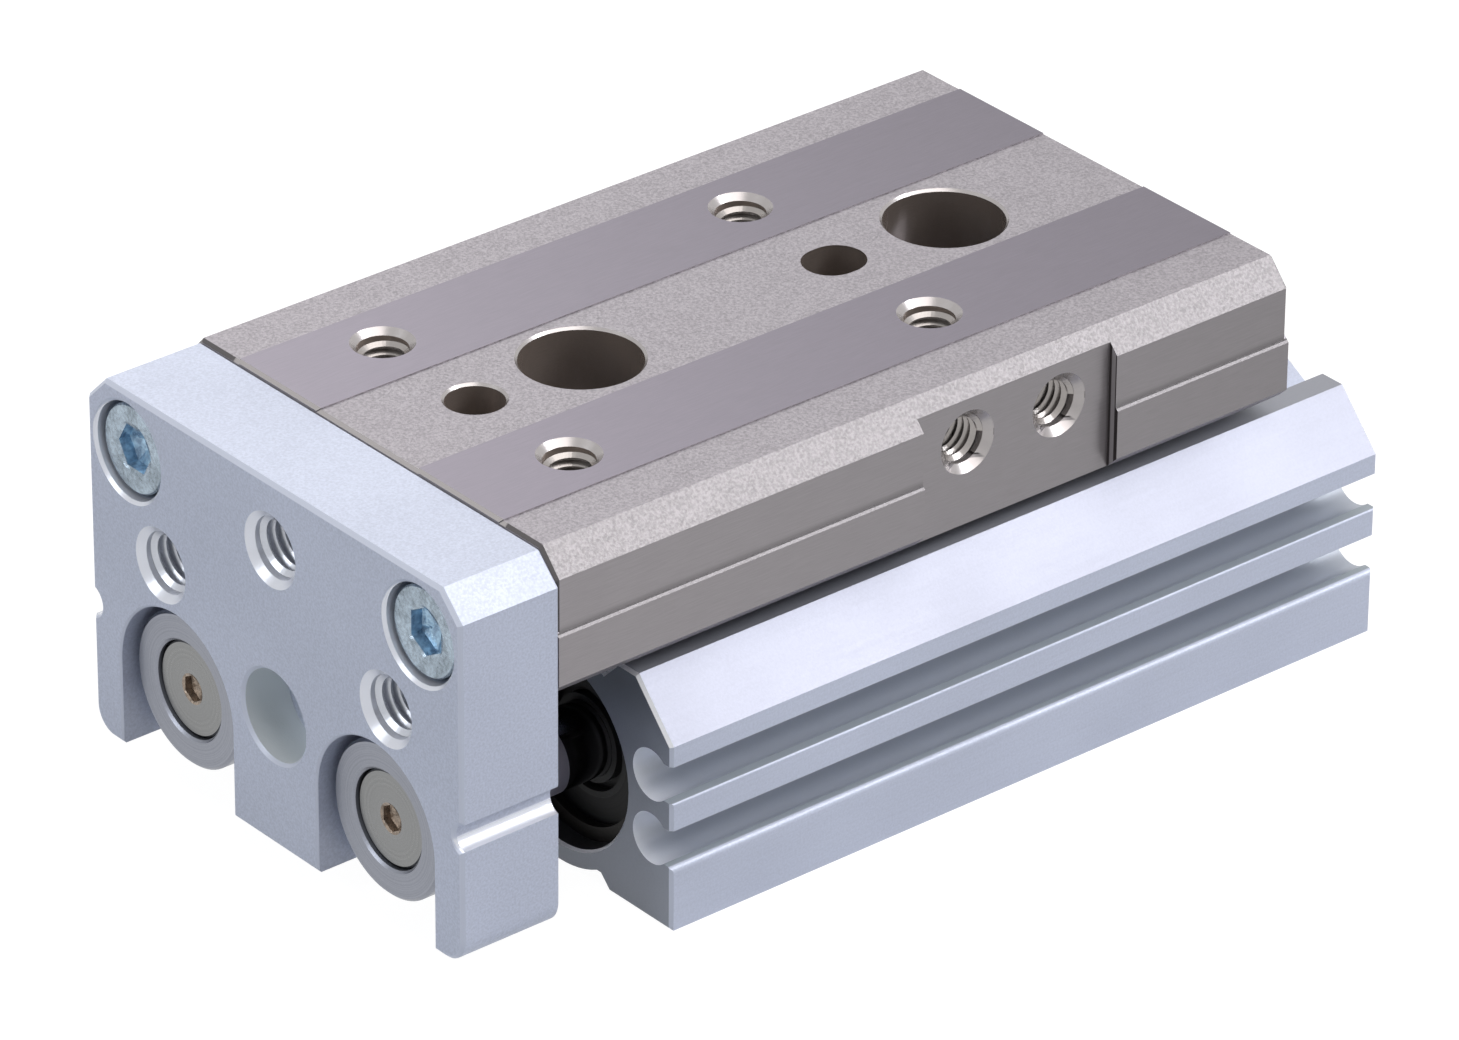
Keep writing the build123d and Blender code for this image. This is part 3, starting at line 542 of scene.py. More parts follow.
@dataclass(frozen=True)
class BodyFinish(Finish):
    """The extrusion: sawn ends, sensor grooves and ridges with painted light and shade, and bore walls
    painted near black as shade.
    """

    paints: tuple[Paint, ...] = (
        # Painted highlight on the broken edges; the slopes are painted darker as shade.
        Paint("edge", (0.62, 0.66, 0.76)), Paint("slope", (0.47, 0.485, 0.575), 0.05),
        # Painted shade on the flats and, darker, on the ridge tops under the table's edge.
        Paint("flat", (0.42, 0.45, 0.55), 0.05), Paint("ridge_shade", (0.29, 0.30, 0.335)),
        # Painted shade on the sawn end faces, darker towards the top under the table.
        Paint("end", (0.32, 0.345, 0.395), 0.05), Paint("end_top_shade", (0.215, 0.235, 0.265)),
        # Painted highlight on the upward broken edges; painted shade in the sensor grooves.
        Paint("crest_highlight", (0.97, 0.98, 1.0)), Paint("groove", (0.46, 0.49, 0.54)),
        # Painted light in the sensor grooves: a band on their walls and their open front ends.
        Paint("groove_top_highlight", (0.86, 0.89, 0.99)), Paint("groove_end_highlight", (0.93, 0.95, 0.99)),
        # The bore walls are painted near black as shade.
        Paint("sill", (0.34, 0.38, 0.41)), Paint("bore", (0.03, 0.031, 0.034)))
    flat_level: float = 18.0 * MM
    slope_level: float = 15.5 * MM
    ridge_level: float = 19.0 * MM
    ridge_start: float = 15.0 * MM
    end_fade: Pair = (15.0 * MM, 19.0 * MM)
    groove_y: float = -22.7 * MM
    groove_heights: Pair = (6.95 * MM, 12.35 * MM)
    groove_radius: float = 2.2 * MM
    groove_mouth: float = -24.75 * MM
    groove_light: Triple = (-0.9 * MM, 2.6 * MM, 1.1 * MM)
    groove_open: Pair = (31.0 * MM, 36.0 * MM)
    sill_band: Triple = (-1.65 * MM, -1.45 * MM, HAIR)
    bore_axis: Pair = (12.0 * MM, 9.55 * MM)
    bore_radius: float = 8.15 * MM
    end_facing: Pair = (0.93, 0.97)
    level_facing: Pair = (0.9, 0.97)
    slope_facing: Pair = (0.5, 0.85)
    crest_facing: Pair = (0.3, 0.4)
    bore_facing: float = 0.5

    def zones(self, sheet: Sheet, spot: Spot) -> Zones:
        """The broken edges, sawn ends, slopes, flats, sensor grooves and bores.

        Args:
            sheet: The material's sheet.
            spot: The surface point.

        Returns:
            The mask of each zone, by its name.
        """
        edge = sheet.band(spot.facing_x, *EDGE_SLANT)
        end = sheet.step(spot.facing_x, *self.end_facing)
        aside = sheet.math("ABSOLUTE", spot.y)
        level = sheet.step(spot.facing_z, *self.level_facing)
        flat = sheet.product(level, sheet.above(spot.z, self.flat_level))
        centres = [(self.groove_y, height) for height in self.groove_heights]
        groove = sheet.product(sheet.near(spot.y, spot.z, self.groove_radius, *centres),
                               sheet.above(spot.y, self.groove_mouth), sheet.rest(end))
        light = sheet.bands(spot.z, self.groove_heights, *self.groove_light)
        forward = sheet.math("MULTIPLY", spot.x, -1.0)
        return {
            "edge": edge, "end": end, "flat": flat, "groove": groove,
            "slope": sheet.product(sheet.band(spot.facing_z, *self.slope_facing),
                                   sheet.above(spot.z, self.slope_level)),
            "ridge_shade": sheet.product(flat, sheet.above(aside, self.ridge_start),
                                   sheet.above(spot.z, self.ridge_level)),
            "end_top_shade": sheet.product(end, sheet.step(spot.z, *self.end_fade)),
            "crest_highlight": sheet.product(edge, sheet.step(spot.facing_z, *self.crest_facing)),
            "groove_top_highlight": sheet.product(groove, light),
            "groove_end_highlight": sheet.product(groove, sheet.step(forward, *self.groove_open)),
            "sill": sheet.product(sheet.bands(spot.z, self.groove_heights, *self.sill_band), level,
                                  sheet.below(spot.y, self.groove_y)),
            "bore": sheet.product(sheet.near(aside, spot.z, self.bore_radius, self.bore_axis),
                                  sheet.below(spot.facing_x, self.bore_facing))}


@dataclass(frozen=True)
class RodFinish(Finish):
    """A ground chrome rod, turned matt at the end that takes the plate."""

    paints: tuple[Paint, ...] = (Paint("matt", (0.25, 0.24, 0.29)),)
    worked_zone: str = "matt"
    worked_roughness: float = 0.4
    worked_metallic: float = 0.4
    matt_end: float = -36.4 * MM

    def zones(self, sheet: Sheet, spot: Spot) -> Zones:
        """The matt stretch at the front end."""
        return {"matt": sheet.below(spot.x, self.matt_end)}


@dataclass(frozen=True)
class TableFinish(Finish):
    """The stainless table: blasted top and corners, two ground strips, ground sides and machined holes."""

    paints: tuple[Paint, ...] = (
        Paint("side", (0.262, 0.245, 0.252), 0.07), Paint("strip", (0.204, 0.184, 0.218), 0.07),
        Paint("bore", (0.30, 0.25, 0.22), 0.07), Paint("shadow", (0.1048, 0.098, 0.1008)),
        # Painted shade on the step's ledge, darkest at its root in the inner corner.
        Paint("bright", (0.42, 0.395, 0.39)), Paint("ledge", (0.20, 0.188, 0.192)),
        # Painted shade on the pocket's end wall, with a painted light band across its middle.
        Paint("ledge_root_shade", (0.05, 0.046, 0.047)), Paint("wall", (0.05, 0.042, 0.042)),
        Paint("wall_light", (0.50, 0.475, 0.48)), Paint("corner", (0.205, 0.192, 0.194), 0.22),
        # Painted shade on the bevels at the table's ends.
        Paint("bevel_shade", (0.10, 0.092, 0.092)))
    pit_contrast: float = 0.9
    strip_level: float = 33.25 * MM
    strip_foot: float = 33.19 * MM
    side_top: float = 33.1 * MM
    corner_low: float = 30.0 * MM
    ceiling: float = 27.7 * MM
    hole_reach: float = 16.0 * MM
    ends: Pair = (-42.5 * MM, 27.1 * MM)
    upper_side: float = 21.95 * MM
    step_level: float = 26.75 * MM
    shadow_height: float = 0.6 * MM
    shadow_share: float = 0.45
    ledge_low: float = 26.48 * MM
    ledge_middle: float = 26.66 * MM
    pocket_x: Pair = (-8.6 * MM, 10.4 * MM)
    pocket_z: Pair = (25.0 * MM, 31.4 * MM)
    pocket_floor: Pair = (20.0 * MM, 20.2 * MM)
    pocket_face: float = 21.15 * MM
    wall_light: Triple = (21.36 * MM, 21.86 * MM, 0.06 * MM)
    strip_facing: Pair = (0.8, 0.95)
    upright_facing: Pair = (0.3, 0.5)
    cone_facing: Triple = (0.4, 0.95, 0.1)
    pocket_facing: Pair = (0.9, 0.98)
    ledge_facing: Pair = (0.5, 0.9)
    bevel_facing: Pair = (0.4, 0.9)
    corner_facing: Pair = (0.45, 0.92)
    wall_facing: float = 0.7
    bright_roughness: float = 0.25
    bright_metallic: float = 0.7
    half_length: float = 36.0 * MM
    front_painted_sheen: float = 1.08
    rear_painted_sheen: float = 0.82

    def zones(self, sheet: Sheet, spot: Spot) -> Zones:
        """The strips, the sides, the holes and their bright edges, the step's shadow and the pocket's end.

        Args:
            sheet: The material's sheet.
            spot: The surface point.

        Returns:
            The mask of each zone, by its name.
        """
        across = sheet.math("ABSOLUTE", spot.y)
        upright = sheet.fall(spot.facing_z, *self.upright_facing)
        side = sheet.product(upright, sheet.fall(spot.z, self.side_top - HAIR, self.side_top))
        hole = sheet.product(sheet.fall(across, self.hole_reach, self.hole_reach + 10 * HAIR),
                             sheet.step(spot.z, self.ceiling + HAIR, self.ceiling + 2 * HAIR))
        bore = sheet.product(upright, hole, sheet.below(spot.z, self.strip_foot),
                             sheet.band(spot.x, *self.ends, HAIR))
        top_cone = sheet.product(sheet.band(spot.facing_z, *self.cone_facing), hole,
                                 sheet.below(spot.x, self.ends[1]))
        front, rear = self.pocket_x
        side_cone = sheet.product(sheet.fall(across, self.pocket_face, self.pocket_face + HAIR / 2),
                                  sheet.step(across, *self.pocket_floor),
                                  sheet.band(spot.z, *self.pocket_z, HAIR),
                                  sheet.fall(spot.facing_y, *self.pocket_facing),
                                  sheet.band(spot.x, front + HAIR, rear - HAIR, HAIR))
        bright = sheet.highest(top_cone, side_cone)
        dull = sheet.rest(bright)
        ledge = sheet.product(sheet.band(spot.facing_z, *self.ledge_facing),
                              sheet.band(spot.z, self.ledge_low, self.step_level + HAIR, HAIR / 2))
        wall = sheet.product(sheet.above(spot.facing_x, self.wall_facing),
                             sheet.band(spot.x, front - 5 * HAIR, rear + 5 * HAIR, HAIR),
                             sheet.step(across, self.pocket_face - 2.5 * HAIR, self.pocket_face))
        return {
            "side": side, "bore": bore, "bright": bright, "ledge": ledge, "wall": wall,
            "strip": sheet.product(sheet.step(spot.z, self.strip_level - HAIR, self.strip_level),
                                   sheet.step(spot.facing_z, *self.strip_facing)),
            "shadow": sheet.product(sheet.step(spot.z, self.step_level - HAIR, self.step_level),
                                    sheet.fall(spot.z, self.step_level, self.step_level + self.shadow_height),
                                    side, sheet.above(across, self.upper_side - HAIR), self.shadow_share),
            "ledge_root_shade": sheet.product(ledge, sheet.above(spot.z, self.ledge_middle)),
            "wall_light": sheet.product(wall, sheet.band(across, *self.wall_light)),
            "corner": sheet.product(sheet.band(spot.facing_z, *self.corner_facing),
                                    sheet.above(spot.z, self.corner_low), dull),
            "bevel_shade": sheet.product(sheet.band(spot.facing_x, *self.bevel_facing), sheet.rest(bore), dull)}

    def marks(self, sheet: Sheet, effects: Effects, spot: Spot, zones: Zones) -> tuple[Socket, Socket]:
        """Blasted grain where nothing was ground, fine lines elsewhere, as tone and height.

        Args:
            sheet: The material's sheet.
            effects: The shared shader groups.
            spot: The surface point.
            zones: Masks of the worked areas.

        Returns:
            The tone from 0 to 1 and the height in metres.
        """
        grain = sheet.place(effects.grain, Vector=spot.place, Size=self.grain_size)
        cloud = sheet.place(effects.cloud, Vector=spot.place, Size=self.cloud_size)
        lines = self.lines(sheet, effects, spot)
        worked = sheet.highest(zones["strip"], zones["side"], zones["bright"])
        blasted = sheet.math("MULTIPLY_ADD", grain["Pits"], -self.pit_contrast, grain["Tone"])
        tone = sheet.blend(worked, blasted, lines["Tone"])
        tone = sheet.math("MULTIPLY_ADD", cloud["Tone"], self.cloud_contrast, tone)
        rough = sheet.math("MULTIPLY", grain["Height"], self.grain_depth)
        smooth = sheet.math("MULTIPLY", lines["Height"], self.mark_depth)
        return tone, sheet.blend(worked, rough, smooth)

    def surface(self, sheet: Sheet, spot: Spot, tone: Socket, zones: Zones) -> Look:
        """Gives each zone its colour, roughness and metallic, with painted sheen: the ground areas are
        painted lighter at the front and darker towards the rear.

        Args:
            sheet: The material's sheet.
            spot: The surface point.
            tone: The tone from 0 to 1.
            zones: Masks of the worked areas.

        Returns:
            The three values for the shader.
        """
        colour = self.painted(sheet, sheet.shade(tone, self.colour, self.grain_contrast), tone, zones)
        worked = sheet.highest(zones["strip"], zones["side"])
        # Painted sheen: the ground areas are painted lighter at the front and darker towards the rear.
        along = sheet.node("ShaderNodeMapRange", {
            "Value": spot.x, "From Min": -self.half_length, "From Max": self.half_length,
            "To Min": self.front_painted_sheen, "To Max": self.rear_painted_sheen})
        painted_sheen = sheet.blend(worked, 1.0, along.outputs["Result"])
        colour = sheet.mix(1.0, colour, sheet.vector(painted_sheen, painted_sheen, painted_sheen), "MULTIPLY")
        rough = sheet.span(worked, self.roughness, self.roughness - self.roughness_spread)
        rough = sheet.blend(sheet.highest(zones["bright"], zones["bore"]), rough, self.bright_roughness)
        return colour, rough, sheet.span(zones["bright"], self.metallic, self.bright_metallic)


def settled(mesh: bmesh.types.BMesh, name: str) -> bpy.types.Mesh:
    """Turns a bmesh into mesh data and frees it.

    Args:
        mesh: The bmesh.
        name: The mesh data's name.

    Returns:
        The mesh data.
    """
    data = bpy.data.meshes.new(name)
    mesh.to_mesh(data)
    mesh.free()
    return data


def put(name: str, data: bpy.types.ID) -> bpy.types.Object:
    """Adds an object to the scene.

    Args:
        name: The object's name.
        data: The mesh, lamp or camera that it shows.

    Returns:
        The new object.
    """
    made = bpy.data.objects.new(name, data)
    bpy.context.scene.collection.objects.link(made)
    return made


@dataclass
class Workshop:
    """Builds each finish once and puts it on solids and new pieces."""

    effects: Effects
    made: dict[str, bpy.types.Material] = field(default_factory=dict)

    def material(self, finish: Finish) -> bpy.types.Material:
        """The finish's material, built on its first use.

        Args:
            finish: The finish.

        Returns:
            Its material.
        """
        if finish.name not in self.made:
            self.made[finish.name] = finish.build(self.effects)
        return self.made[finish.name]

    def dress(self, node: str, finish: Finish) -> None:
        """Puts a finish on one solid of the frame.

        Args:
            node: The solid's name.
            finish: The finish it gets.
        """
        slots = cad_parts[node].data.materials
        material = self.material(finish)
        if not slots:
            slots.append(material)
        for index in range(len(slots)):
            slots[index] = material
        LOG.info("%s: %s", node, finish.name)

    def piece(self, mesh: bmesh.types.BMesh, name: str, body: str, slot: str,
              *finishes: Finish) -> bpy.types.Object:
        """Turns a finished bmesh into a piece that rides on a body.

        Args:
            mesh: The shape, in metres, in its final place.
            name: The piece's name.
            body: The body it rides on.
            slot: Not used.
            *finishes: The finishes of its faces, in the order of their material numbers.

        Returns:
            The new object.
        """
        data = settled(mesh, name)
        for finish in finishes:
            data.materials.append(self.material(finish))
        made = put(name, data)
        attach(made, body)
        LOG.info("%s: %d faces on %s", name, len(data.polygons), body)
        return made

    def threads(self, name: str, body: str, slot: str, hole: "TappedHole", outward: Triple,
                mouths: list[Triple]) -> None:
        """Makes one piece of the threads of like holes.

        Args:
            name: The piece's name.
            body: The body it rides on.
            slot: The record's material slot it takes its finish from.
            hole: The kind of hole.
            outward: The outward direction of the holes' face.
            mouths: The middle of each hole's mouth.
        """
        mesh = bmesh.new()
        for mouth in mouths:
            hole.cut(mesh, Vector(mouth), Vector(outward))
        self.piece(mesh, name, body, slot, THREAD_FINISHES[slot])


def facing_frame(origin: Vector, outward: Vector) -> Matrix:
    """A placement at a point of a face, with its Z axis pointing out of the face."""
    return Matrix.Translation(origin) @ outward.to_track_quat("Z", "Y").to_matrix().to_4x4()


def add_mesh(own: bmesh.types.BMesh, mesh: bmesh.types.BMesh) -> None:
    """Adds a finished part, which is used up, to the mesh of a piece.

    Args:
        own: The part.
        mesh: The piece's mesh.
    """
    carried = settled(own, "part")
    mesh.from_mesh(carried)
    bpy.data.meshes.remove(carried)


@dataclass(frozen=True)
class TappedHole:
    """A metric thread that lines a plain hole, with its start cut back by the countersink."""

    diameter: float
    pitch: float
    depth: float
    countersink: float
    clearance: float = 0.012 * MM
    tooth_height: float = 0.54
    tooth: Triple = (0.40, 0.56, 0.96)
    merge_reach: float = 0.002 * MM
    steps: int = 40

    def cut(self, mesh: bmesh.types.BMesh, origin: Vector, outward: Vector) -> None:
        """Adds the thread's surface to a mesh.

        Args:
            mesh: The mesh that gets the thread.
            origin: The middle of the hole's mouth on its face.
            outward: The face's outward direction.
        """
        own = bmesh.new()
        root = self.diameter / 2 - self.clearance
        crest_highlight = self.diameter / 2 - self.tooth_height * self.pitch
        profile = zip((root, crest_highlight, crest_highlight, root, root), (0.0, *self.tooth, 1.0))
        verts = [own.verts.new((radius, 0.0, -self.countersink - share * self.pitch))
                 for radius, share in profile]
        edges = [own.edges.new(pair) for pair in zip(verts, verts[1:])]
        turns = int((self.depth - self.countersink) / self.pitch) - 1
        bmesh.ops.spin(own, geom=verts + edges, cent=(0, 0, 0), axis=(0, 0, 1),
                       dvec=(0, 0, -self.pitch / self.steps), angle=math.tau * turns,
                       steps=self.steps * turns, use_merge=False, use_duplicate=False)
        bmesh.ops.remove_doubles(own, verts=own.verts, dist=self.merge_reach)
        mouth = self.diameter / 2 + self.countersink - self.clearance
        for vert in own.verts:
            reach = math.hypot(vert.co.x, vert.co.y)
            cone = min(mouth + vert.co.z, root)
            if reach < cone:
                vert.co.x *= cone / reach
                vert.co.y *= cone / reach
        bmesh.ops.recalc_face_normals(own, faces=own.faces)
        face = own.faces[:][len(own.faces) // 2]
        if face.normal.dot(Vector((*face.calc_center_median().xy, 0.0))) > 0.0:
            bmesh.ops.reverse_faces(own, faces=own.faces)
        own.transform(facing_frame(origin, outward))
        add_mesh(own, mesh)


@dataclass(frozen=True)
class SocketScrew:
    """A cap screw with a hexagon socket, a broken rim and a knurled side."""

    shank: float
    head: float
    height: float
    socket: float
    socket_depth: float
    rim: float
    mouth_break: float
    knurl_depth: float = 0.0
    knurl_margin: float = 0.1 * MM
    land: float = 0.2
    cone: float = 0.2
    merge_reach: float = 0.001 * MM
    rim_share: float = 1.1
    plain_mouth: bool = False
    steps: int = 96

    def place(self, mesh: bmesh.types.BMesh, seat: Vector, outward: Vector, length: float,
              turn: float = 0.0) -> None:
        """Adds one screw to a mesh.

        Args:
            mesh: The mesh that gets the screw.
            seat: The middle of the head's bearing face.
            outward: The direction in which the head stands up.
            length: The shank's length.
            turn: How far the screw is turned on its axis.
        """
        own = bmesh.new()
        self.spin(own, length)
        if self.knurl_depth > 0.0:
            self.knurl(own)
        self.sink_socket(own)
        bmesh.ops.recalc_face_normals(own, faces=own.faces)
        own.transform(facing_frame(seat, outward) @ Matrix.Rotation(turn, 4, "Z"))
        add_mesh(own, mesh)

    def spin(self, own: bmesh.types.BMesh, length: float) -> None:
        """Turns head and shank round the screw's axis.

        Args:
            own: The screw's mesh.
            length: The shank's length.
        """
        radius = self.head / 2
        mouth = self.socket / math.sqrt(3) + self.mouth_break
        shoulder = self.height - self.rim
        profile = ((mouth, self.height), (radius - self.rim, self.height), (radius, shoulder),
                   (radius, shoulder - self.knurl_margin), (radius, self.land * self.height), (radius, 0.0),
                   (self.shank / 2, 0.0), (self.shank / 2, -length), (0.0, -length))
        verts = [own.verts.new((across, 0.0, up)) for across, up in profile]
        edges = [own.edges.new(pair) for pair in zip(verts, verts[1:])]
        bmesh.ops.spin(own, geom=verts + edges, cent=(0, 0, 0), axis=(0, 0, 1), dvec=(0, 0, 0),
                       angle=math.tau, steps=self.steps, use_merge=True, use_duplicate=False)
        bmesh.ops.remove_doubles(own, verts=own.verts, dist=self.merge_reach)

    def knurl(self, own: bmesh.types.BMesh) -> None:
        """Presses grooves into the head's side.

        Args:
            own: The screw's mesh.
        """
        for vert in own.verts:
            reach = math.hypot(vert.co.x, vert.co.y)
            on_side = abs(reach - self.head / 2) < self.knurl_depth / 10
            between = self.knurl_margin < vert.co.z < self.height - self.rim_share * self.rim
            turn = round(math.atan2(vert.co.y, vert.co.x) / math.tau * self.steps)
            if on_side and between and turn % 2 == 0:
                vert.co.x *= 1.0 - self.knurl_depth / reach
                vert.co.y *= 1.0 - self.knurl_depth / reach

    def sink_socket(self, own: bmesh.types.BMesh) -> None:
        """Joins the round mouth to a hexagon, sinks it and closes it with a drilled cone.

        Args:
            own: The screw's mesh.
        """
        mouth = [edge for edge in own.edges if edge.is_boundary]
        level = self.height - self.mouth_break
        ring = bmesh.ops.create_circle(own, cap_ends=False, segments=6, radius=self.socket / math.sqrt(3),
                                       matrix=Matrix.Translation((0, 0, level)))["verts"]
        sides = list({edge for vert in ring for edge in vert.link_edges})
        bmesh.ops.subdivide_edges(own, edges=sides, cuts=self.steps // 6 - 1)
        hexagon = [edge for edge in own.edges if edge.is_wire]
        rounded = bmesh.ops.bridge_loops(own, edges=mouth + hexagon)["faces"]
        sunk = bmesh.ops.extrude_edge_only(own, edges=hexagon)["geom"]
        low_verts = [part for part in sunk if isinstance(part, bmesh.types.BMVert)]
        bmesh.ops.translate(own, verts=low_verts, vec=(0, 0, -self.socket_depth))
        low_edges = [part for part in sunk if isinstance(part, bmesh.types.BMEdge)]
        floor = bmesh.ops.edgeloop_fill(own, edges=[edge for edge in low_edges if edge.is_boundary])["faces"]
        cone = bmesh.ops.poke(own, faces=floor, offset=-self.cone * self.socket)["faces"]
        walls = [part for part in sunk if isinstance(part, bmesh.types.BMFace)]
        for face in walls + cone + ([] if self.plain_mouth else rounded):
            face.material_index = 1


ANODISED = PlateFinish("clear_anodised_aluminium", (0.56, 0.60, 0.715), metallic=0.15, roughness=0.42,
                       grain_size=0.2 * MM, grain_depth=0.008 * MM, grain_contrast=0.09, cloud_contrast=0.03,
                       mark_contrast=0.01)
EXTRUDED = BodyFinish("anodised_extrusion", (0.56, 0.60, 0.715), metallic=0.15, roughness=0.42,
                      lay=Lay.ALONG_TRAVEL, mark_spacing=0.16 * MM, mark_stretch=60.0, mark_depth=0.0015 * MM,
                      mark_contrast=0.03, grain_size=0.2 * MM, grain_depth=0.006 * MM, grain_contrast=0.05,
                      cloud_contrast=0.03)
STAINLESS = TableFinish("stainless_table", (0.297, 0.276, 0.295), metallic=0.6, roughness=0.42,
                        roughness_spread=0.08, lay=Lay.ALONG_TRAVEL, mark_spacing=0.07 * MM,
                        mark_stretch=30.0, mark_depth=0.002 * MM, mark_contrast=0.07,
                        grain_size=0.24 * MM, grain_depth=0.04 * MM, grain_contrast=0.22,
                        cloud_size=2.4 * MM, cloud_contrast=0.1)
THREADED_STEEL = Finish("cut_thread_stainless", (0.37, 0.345, 0.33), metallic=0.7, roughness=0.24,
                        grain_contrast=0.03)
THREADED_ALUMINIUM = Finish("cut_thread_aluminium", (0.66, 0.68, 0.73), metallic=0.5, roughness=0.24,
                            grain_contrast=0.03)
GUIDE_STEEL = Finish("ground_guide_steel", (0.46, 0.46, 0.47), roughness=0.28, lay=Lay.ALONG_TRAVEL,
                     mark_spacing=0.05 * MM)
BALL_STEEL = Finish("polished_ball_steel", (0.68, 0.68, 0.70), roughness=0.08, roughness_spread=0.02,
                    grain_contrast=0.01, grain_depth=0.0)
CAP_PLASTIC = Finish("moulded_plastic", (0.035, 0.037, 0.04), metallic=0.0, roughness=0.45,
                     grain_contrast=0.08, grain_depth=0.006 * MM)
RUBBER = Finish("seal_rubber", (0.02, 0.02, 0.02), metallic=0.0, roughness=0.6, grain_contrast=0.1,
                grain_depth=0.008 * MM, specular=0.3)
ZINC = Finish("zinc_plated_screw", (0.30, 0.363, 0.42), metallic=0.8, roughness=0.24, roughness_spread=0.08,
              grain_size=0.3 * MM, grain_depth=0.02 * MM, grain_contrast=0.22, cloud_size=1.4 * MM,
              cloud_contrast=0.2)
# Blue zinc plate painted lighter than the head, as painted light in the socket's recess.
ZINC_SOCKET_PAINTED_LIGHT = Finish("blue_zinc_socket_painted_light", (0.36, 0.52, 0.74), metallic=0.5, roughness=0.2,
                     roughness_spread=0.1, grain_size=0.5 * MM, grain_depth=0.08 * MM,
                     grain_contrast=0.32, cloud_size=0.9 * MM, cloud_contrast=0.2)
BROWN_SOCKET = Finish("oiled_steel_socket", (0.30, 0.24, 0.19), metallic=0.6, roughness=0.26,
                      grain_size=0.3 * MM, grain_depth=0.04 * MM, grain_contrast=0.35)
BLACK_OXIDE = Finish("black_oxide_screw", (0.05, 0.05, 0.055), roughness=0.4, grain_contrast=0.08)
CHROME_ROD = RodFinish("hard_chrome_rod", (0.50, 0.50, 0.53), roughness=0.13, grain_contrast=0.02)
TURNED = Finish("turned_steel", (0.25, 0.262, 0.30), roughness=0.36, lay=Lay.TURNED, mark_spacing=0.14 * MM,
                mark_depth=0.002 * MM, mark_contrast=0.07)
FLAT_SCREW = Finish("flat_screw_steel", (0.225, 0.228, 0.228), roughness=0.3, lay=Lay.TURNED,
                    mark_spacing=0.2 * MM, mark_depth=0.001 * MM, mark_contrast=0.04)
BLACK_COVER = Finish("black_anodised_cover", (0.006, 0.006, 0.007), metallic=0.0, roughness=0.4,
                     lay=Lay.TURNED, mark_contrast=0.1, specular=0.12)
SPRING = Finish("phosphated_spring_steel", (0.02, 0.018, 0.017), metallic=0.4, roughness=0.45,
                grain_contrast=0.12, specular=0.2)
BRONZE = Finish("sintered_bronze", (0.42, 0.28, 0.14), roughness=0.42, grain_contrast=0.1)
MAGNET = Finish("bonded_magnet", (0.05, 0.048, 0.048), metallic=0.2, roughness=0.5, grain_contrast=0.12)
PISTON = Finish("turned_aluminium", (0.62, 0.63, 0.65), roughness=0.32, lay=Lay.TURNED, mark_contrast=0.04)
CLEAR = "clear_anodised_aluminium"
STEEL = "stainless_table"
THREAD_FINISHES = {CLEAR: THREADED_ALUMINIUM, STEEL: THREADED_STEEL}


@dataclass
class CylinderBody:
    """The fixed body: the extrusion, its air port threads and its mounting threads."""

    port_thread: TappedHole = TappedHole(5.0 * MM, 0.8 * MM, 5.0 * MM, 0.5 * MM)
    base_thread: TappedHole = TappedHole(5.0 * MM, 0.8 * MM, 6.5 * MM, 0.0)
    port_x: Pair = (-19.8 * MM, 27.25 * MM)
    port_height: float = 9.55 * MM
    base_x: Pair = (-23.15 * MM, 12.35 * MM)

    def dress(self, shop: Workshop) -> None:
        """Gives the extrusion its finish."""
        shop.dress("cylinder_body", EXTRUDED)

    def build(self, shop: Workshop) -> None:
        """Cuts the threads of the ports and of the mounting holes.

        Args:
            shop: The workshop that holds the finishes.
        """
        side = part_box("cylinder_body")[1].y
        ports = [(x, side, self.port_height) for x in self.port_x]
        shop.threads("port_threads", "cylinder", CLEAR, self.port_thread, (0, 1, 0), ports)
        shop.threads("base_threads", "cylinder", CLEAR, self.base_thread, (0, 0, -1),
                     [(x, 0, 0) for x in self.base_x])


